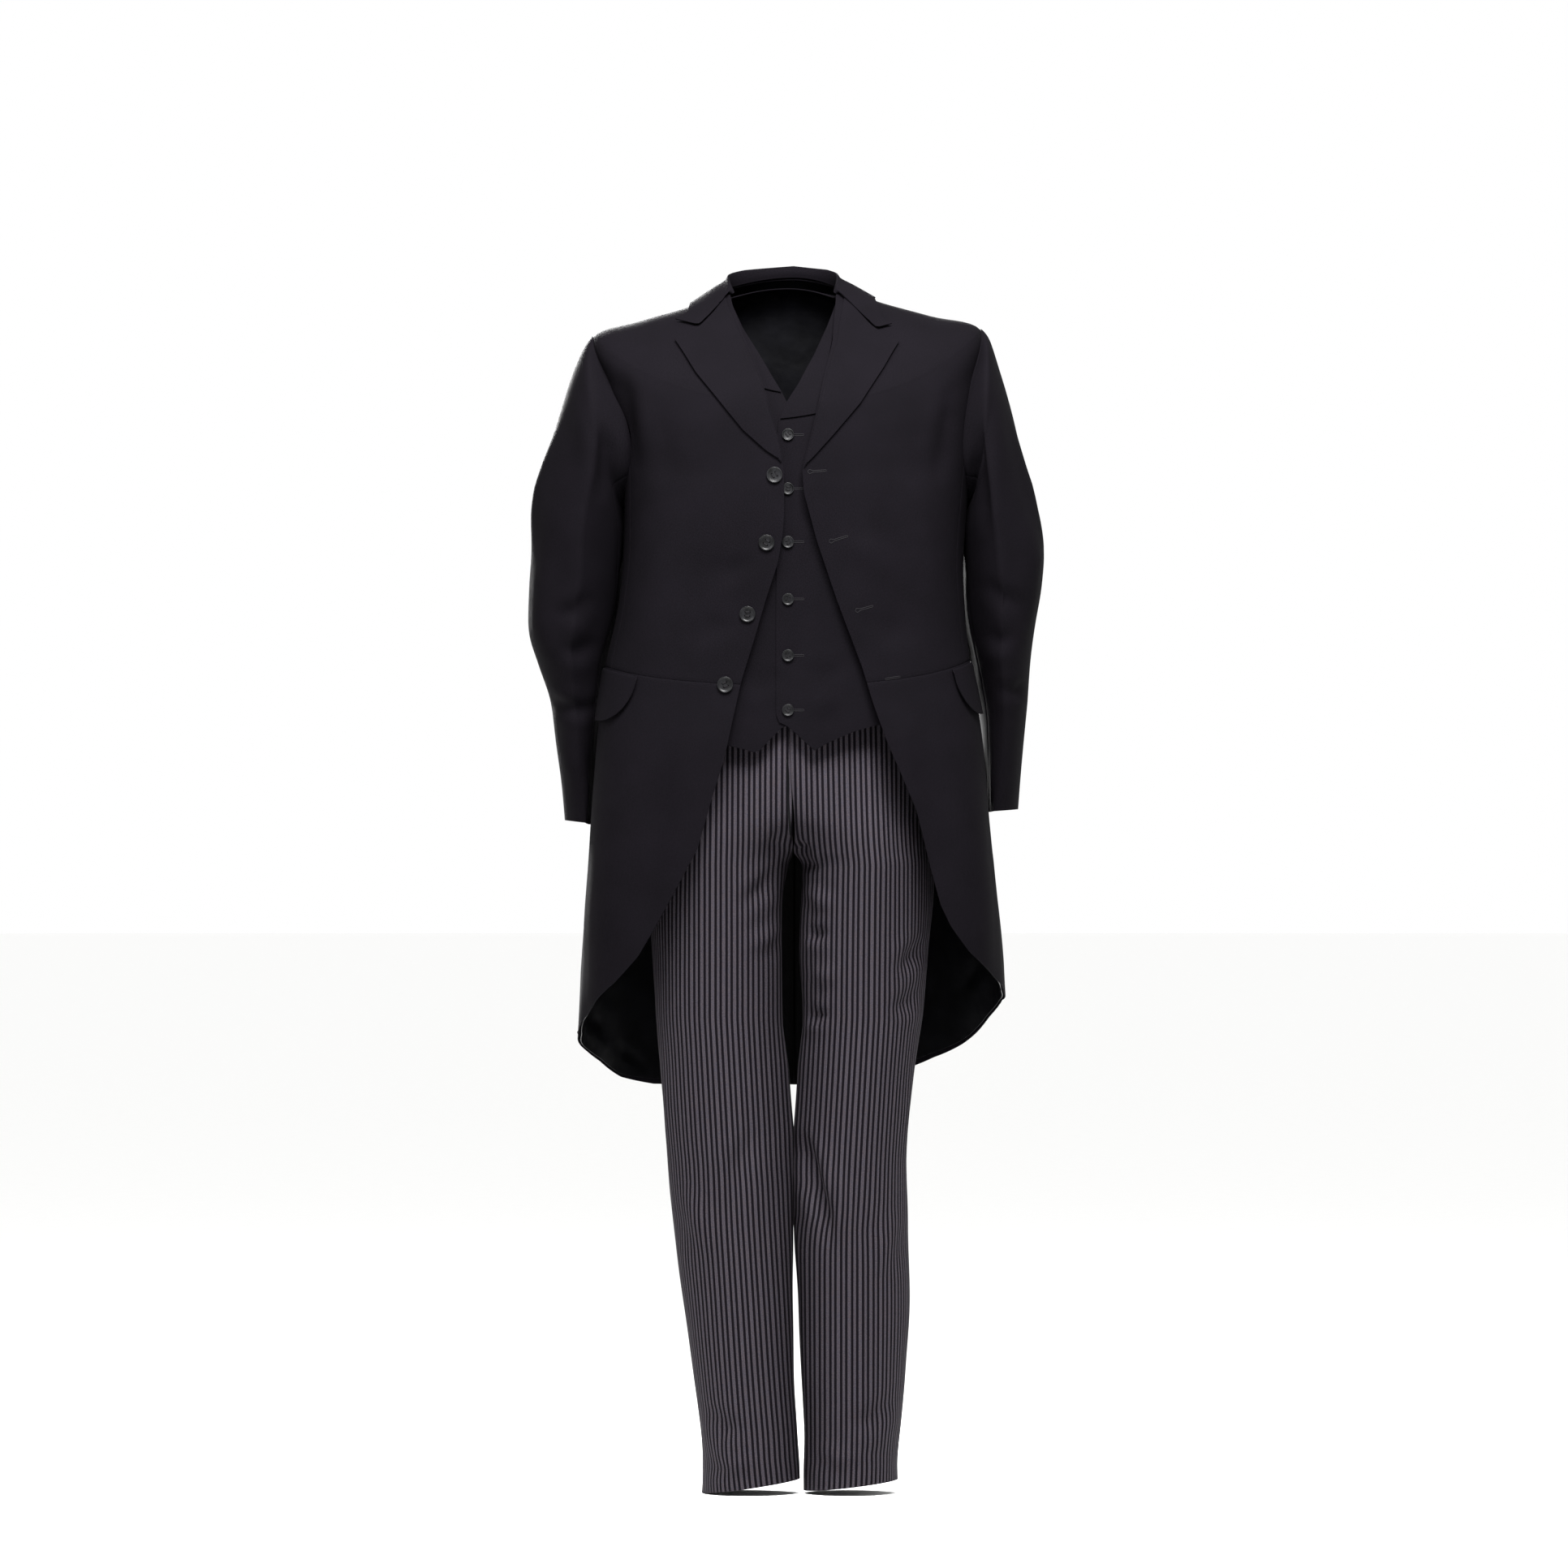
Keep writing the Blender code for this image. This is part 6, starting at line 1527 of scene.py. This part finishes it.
class MORNINGSUIT_OT_waistcoat(bpy.types.Operator):
    """Make the waistcoat's fronts, back and lapels"""
    bl_idname = "morningsuit.waistcoat"
    bl_label = "Waistcoat"

    def execute(self, context):
        make_waistcoat()
        return {"FINISHED"}


class MORNINGSUIT_OT_trousers(bpy.types.Operator):
    """Make the trousers' fronts, backs, waistband and fly facing"""
    bl_idname = "morningsuit.trousers"
    bl_label = "Trousers"

    def execute(self, context):
        make_trousers()
        return {"FINISHED"}


class MORNINGSUIT_OT_buttons(bpy.types.Operator):
    """Make the buttons of the coat and waistcoat"""
    bl_idname = "morningsuit.buttons"
    bl_label = "Buttons"

    def execute(self, context):
        make_buttons()
        return {"FINISHED"}


class MORNINGSUIT_OT_sewing(bpy.types.Operator):
    """Make the buttonholes and the fly's stitches"""
    bl_idname = "morningsuit.sewing"
    bl_label = "Buttonholes and Fly Sewing"

    def execute(self, context):
        make_buttonholes()
        make_fly_sewing()
        return {"FINISHED"}


class MORNINGSUIT_OT_studio(bpy.types.Operator):
    """Set up the floor, the lights and the camera"""
    bl_idname = "morningsuit.studio"
    bl_label = "Studio"

    def execute(self, context):
        make_studio()
        return {"FINISHED"}


def make_studio():
    """Pale floor and surround, soft lights and a long lens at the photograph's angle."""
    bpy.ops.object.select_all(action="DESELECT")
    bpy.ops.mesh.primitive_circle_add(vertices=96, radius=60, fill_type="NGON",
                                      location=(0, 0, FLOOR_HEIGHT))
    floor = bpy.context.active_object
    floor.name = floor.data.name = "studio_floor"
    floor.data.materials.append(finish("paper"))
    world = bpy.data.worlds.new("studio_surround")
    world.use_nodes = True
    world.node_tree.nodes["Background"].inputs["Color"].default_value = linear("#FFFFFF")
    world.node_tree.nodes["Background"].inputs["Strength"].default_value = 1.0
    bpy.context.scene.world = world
    for name, place, size, power in STUDIO_LIGHTS:
        bpy.ops.object.light_add(type="AREA", location=place)
        light = bpy.context.active_object
        light.name = light.data.name = name
        light.data.shape = "RECTANGLE"
        light.data.size, light.data.size_y = size
        light.data.energy = power
        light.data.spread = LIGHT_SPREAD
        way = np.array(LIGHT_TARGET) - np.array(place)
        light.rotation_euler = (math.atan2(math.hypot(way[0], way[1]), -way[2]), 0,
                                math.atan2(way[1], way[0]) - math.pi / 2)
    bpy.ops.object.camera_add(location=(VIEW_CENTRE[0], -CAMERA_DISTANCE, VIEW_CENTRE[1]),
                              rotation=(math.pi / 2, 0, 0))
    camera = bpy.context.active_object
    camera.name = camera.data.name = "photo_view"
    camera.data.sensor_fit = "HORIZONTAL"
    camera.data.sensor_width = SENSOR_WIDTH
    camera.data.lens = SENSOR_WIDTH * CAMERA_DISTANCE / VIEW_WIDTH
    camera.data.clip_end = 200
    bpy.context.scene.camera = camera
    bpy.context.scene.view_settings.view_transform = "Standard"


FLOOR_HEIGHT = -1.5138
# Camera: the middle and width of what it sees in metres, its distance and its sensor's width in mm
VIEW_CENTRE, VIEW_WIDTH, CAMERA_DISTANCE, SENSOR_WIDTH = (-0.0041, -0.6139), 1.990, 16.0, 36
LIGHT_TARGET = (0.0, 0.0, -0.3)
LIGHT_SPREAD = math.radians(100)
# Soft lights: name, place, size and power in watts
STUDIO_LIGHTS = (
    ("key_softbox", (0.2, -1.6, 1.5), (1.3, 1.1), 130),
    ("fill_softbox", (-2.0, -2.2, 1.4), (1.0, 1.2), 26),
    ("back_softbox", (-0.6, 2.6, 0.4), (1.0, 1.0), 140),
)


class MORNINGSUIT_PT_panel(bpy.types.Panel):
    """Sidebar panel that lists the suit's operators"""
    bl_idname = "MORNINGSUIT_PT_panel"
    bl_label = "Morning Suit"
    bl_space_type = "VIEW_3D"
    bl_region_type = "UI"
    bl_category = "Suit"

    def draw(self, context):
        for name in MorningSuitSettings.__annotations__:
            self.layout.prop(context.scene.morning_suit, name)
        for operator in OPERATORS:
            self.layout.operator(operator.bl_idname)


OPERATORS = (MORNINGSUIT_OT_coat_body, MORNINGSUIT_OT_coat_trim, MORNINGSUIT_OT_waistcoat,
             MORNINGSUIT_OT_trousers, MORNINGSUIT_OT_buttons, MORNINGSUIT_OT_sewing, MORNINGSUIT_OT_studio)
CLASSES = (MorningSuitSettings,) + OPERATORS + (MORNINGSUIT_PT_panel,)


def register():
    """Register the classes and the scene's settings."""
    for made in CLASSES:
        bpy.utils.register_class(made)
    bpy.types.Scene.morning_suit = bpy.props.PointerProperty(type=MorningSuitSettings)


def unregister():
    """Remove the classes and the scene's settings."""
    del bpy.types.Scene.morning_suit
    for made in reversed(CLASSES):
        bpy.utils.unregister_class(made)


def main():
    """Make the whole suit and its studio."""
    register()
    bpy.ops.morningsuit.coat_body()
    bpy.ops.morningsuit.coat_trim()
    bpy.ops.morningsuit.waistcoat()
    bpy.ops.morningsuit.trousers()
    bpy.ops.morningsuit.buttons()
    bpy.ops.morningsuit.sewing()
    bpy.ops.morningsuit.studio()


if __name__ == "__main__":
    main()
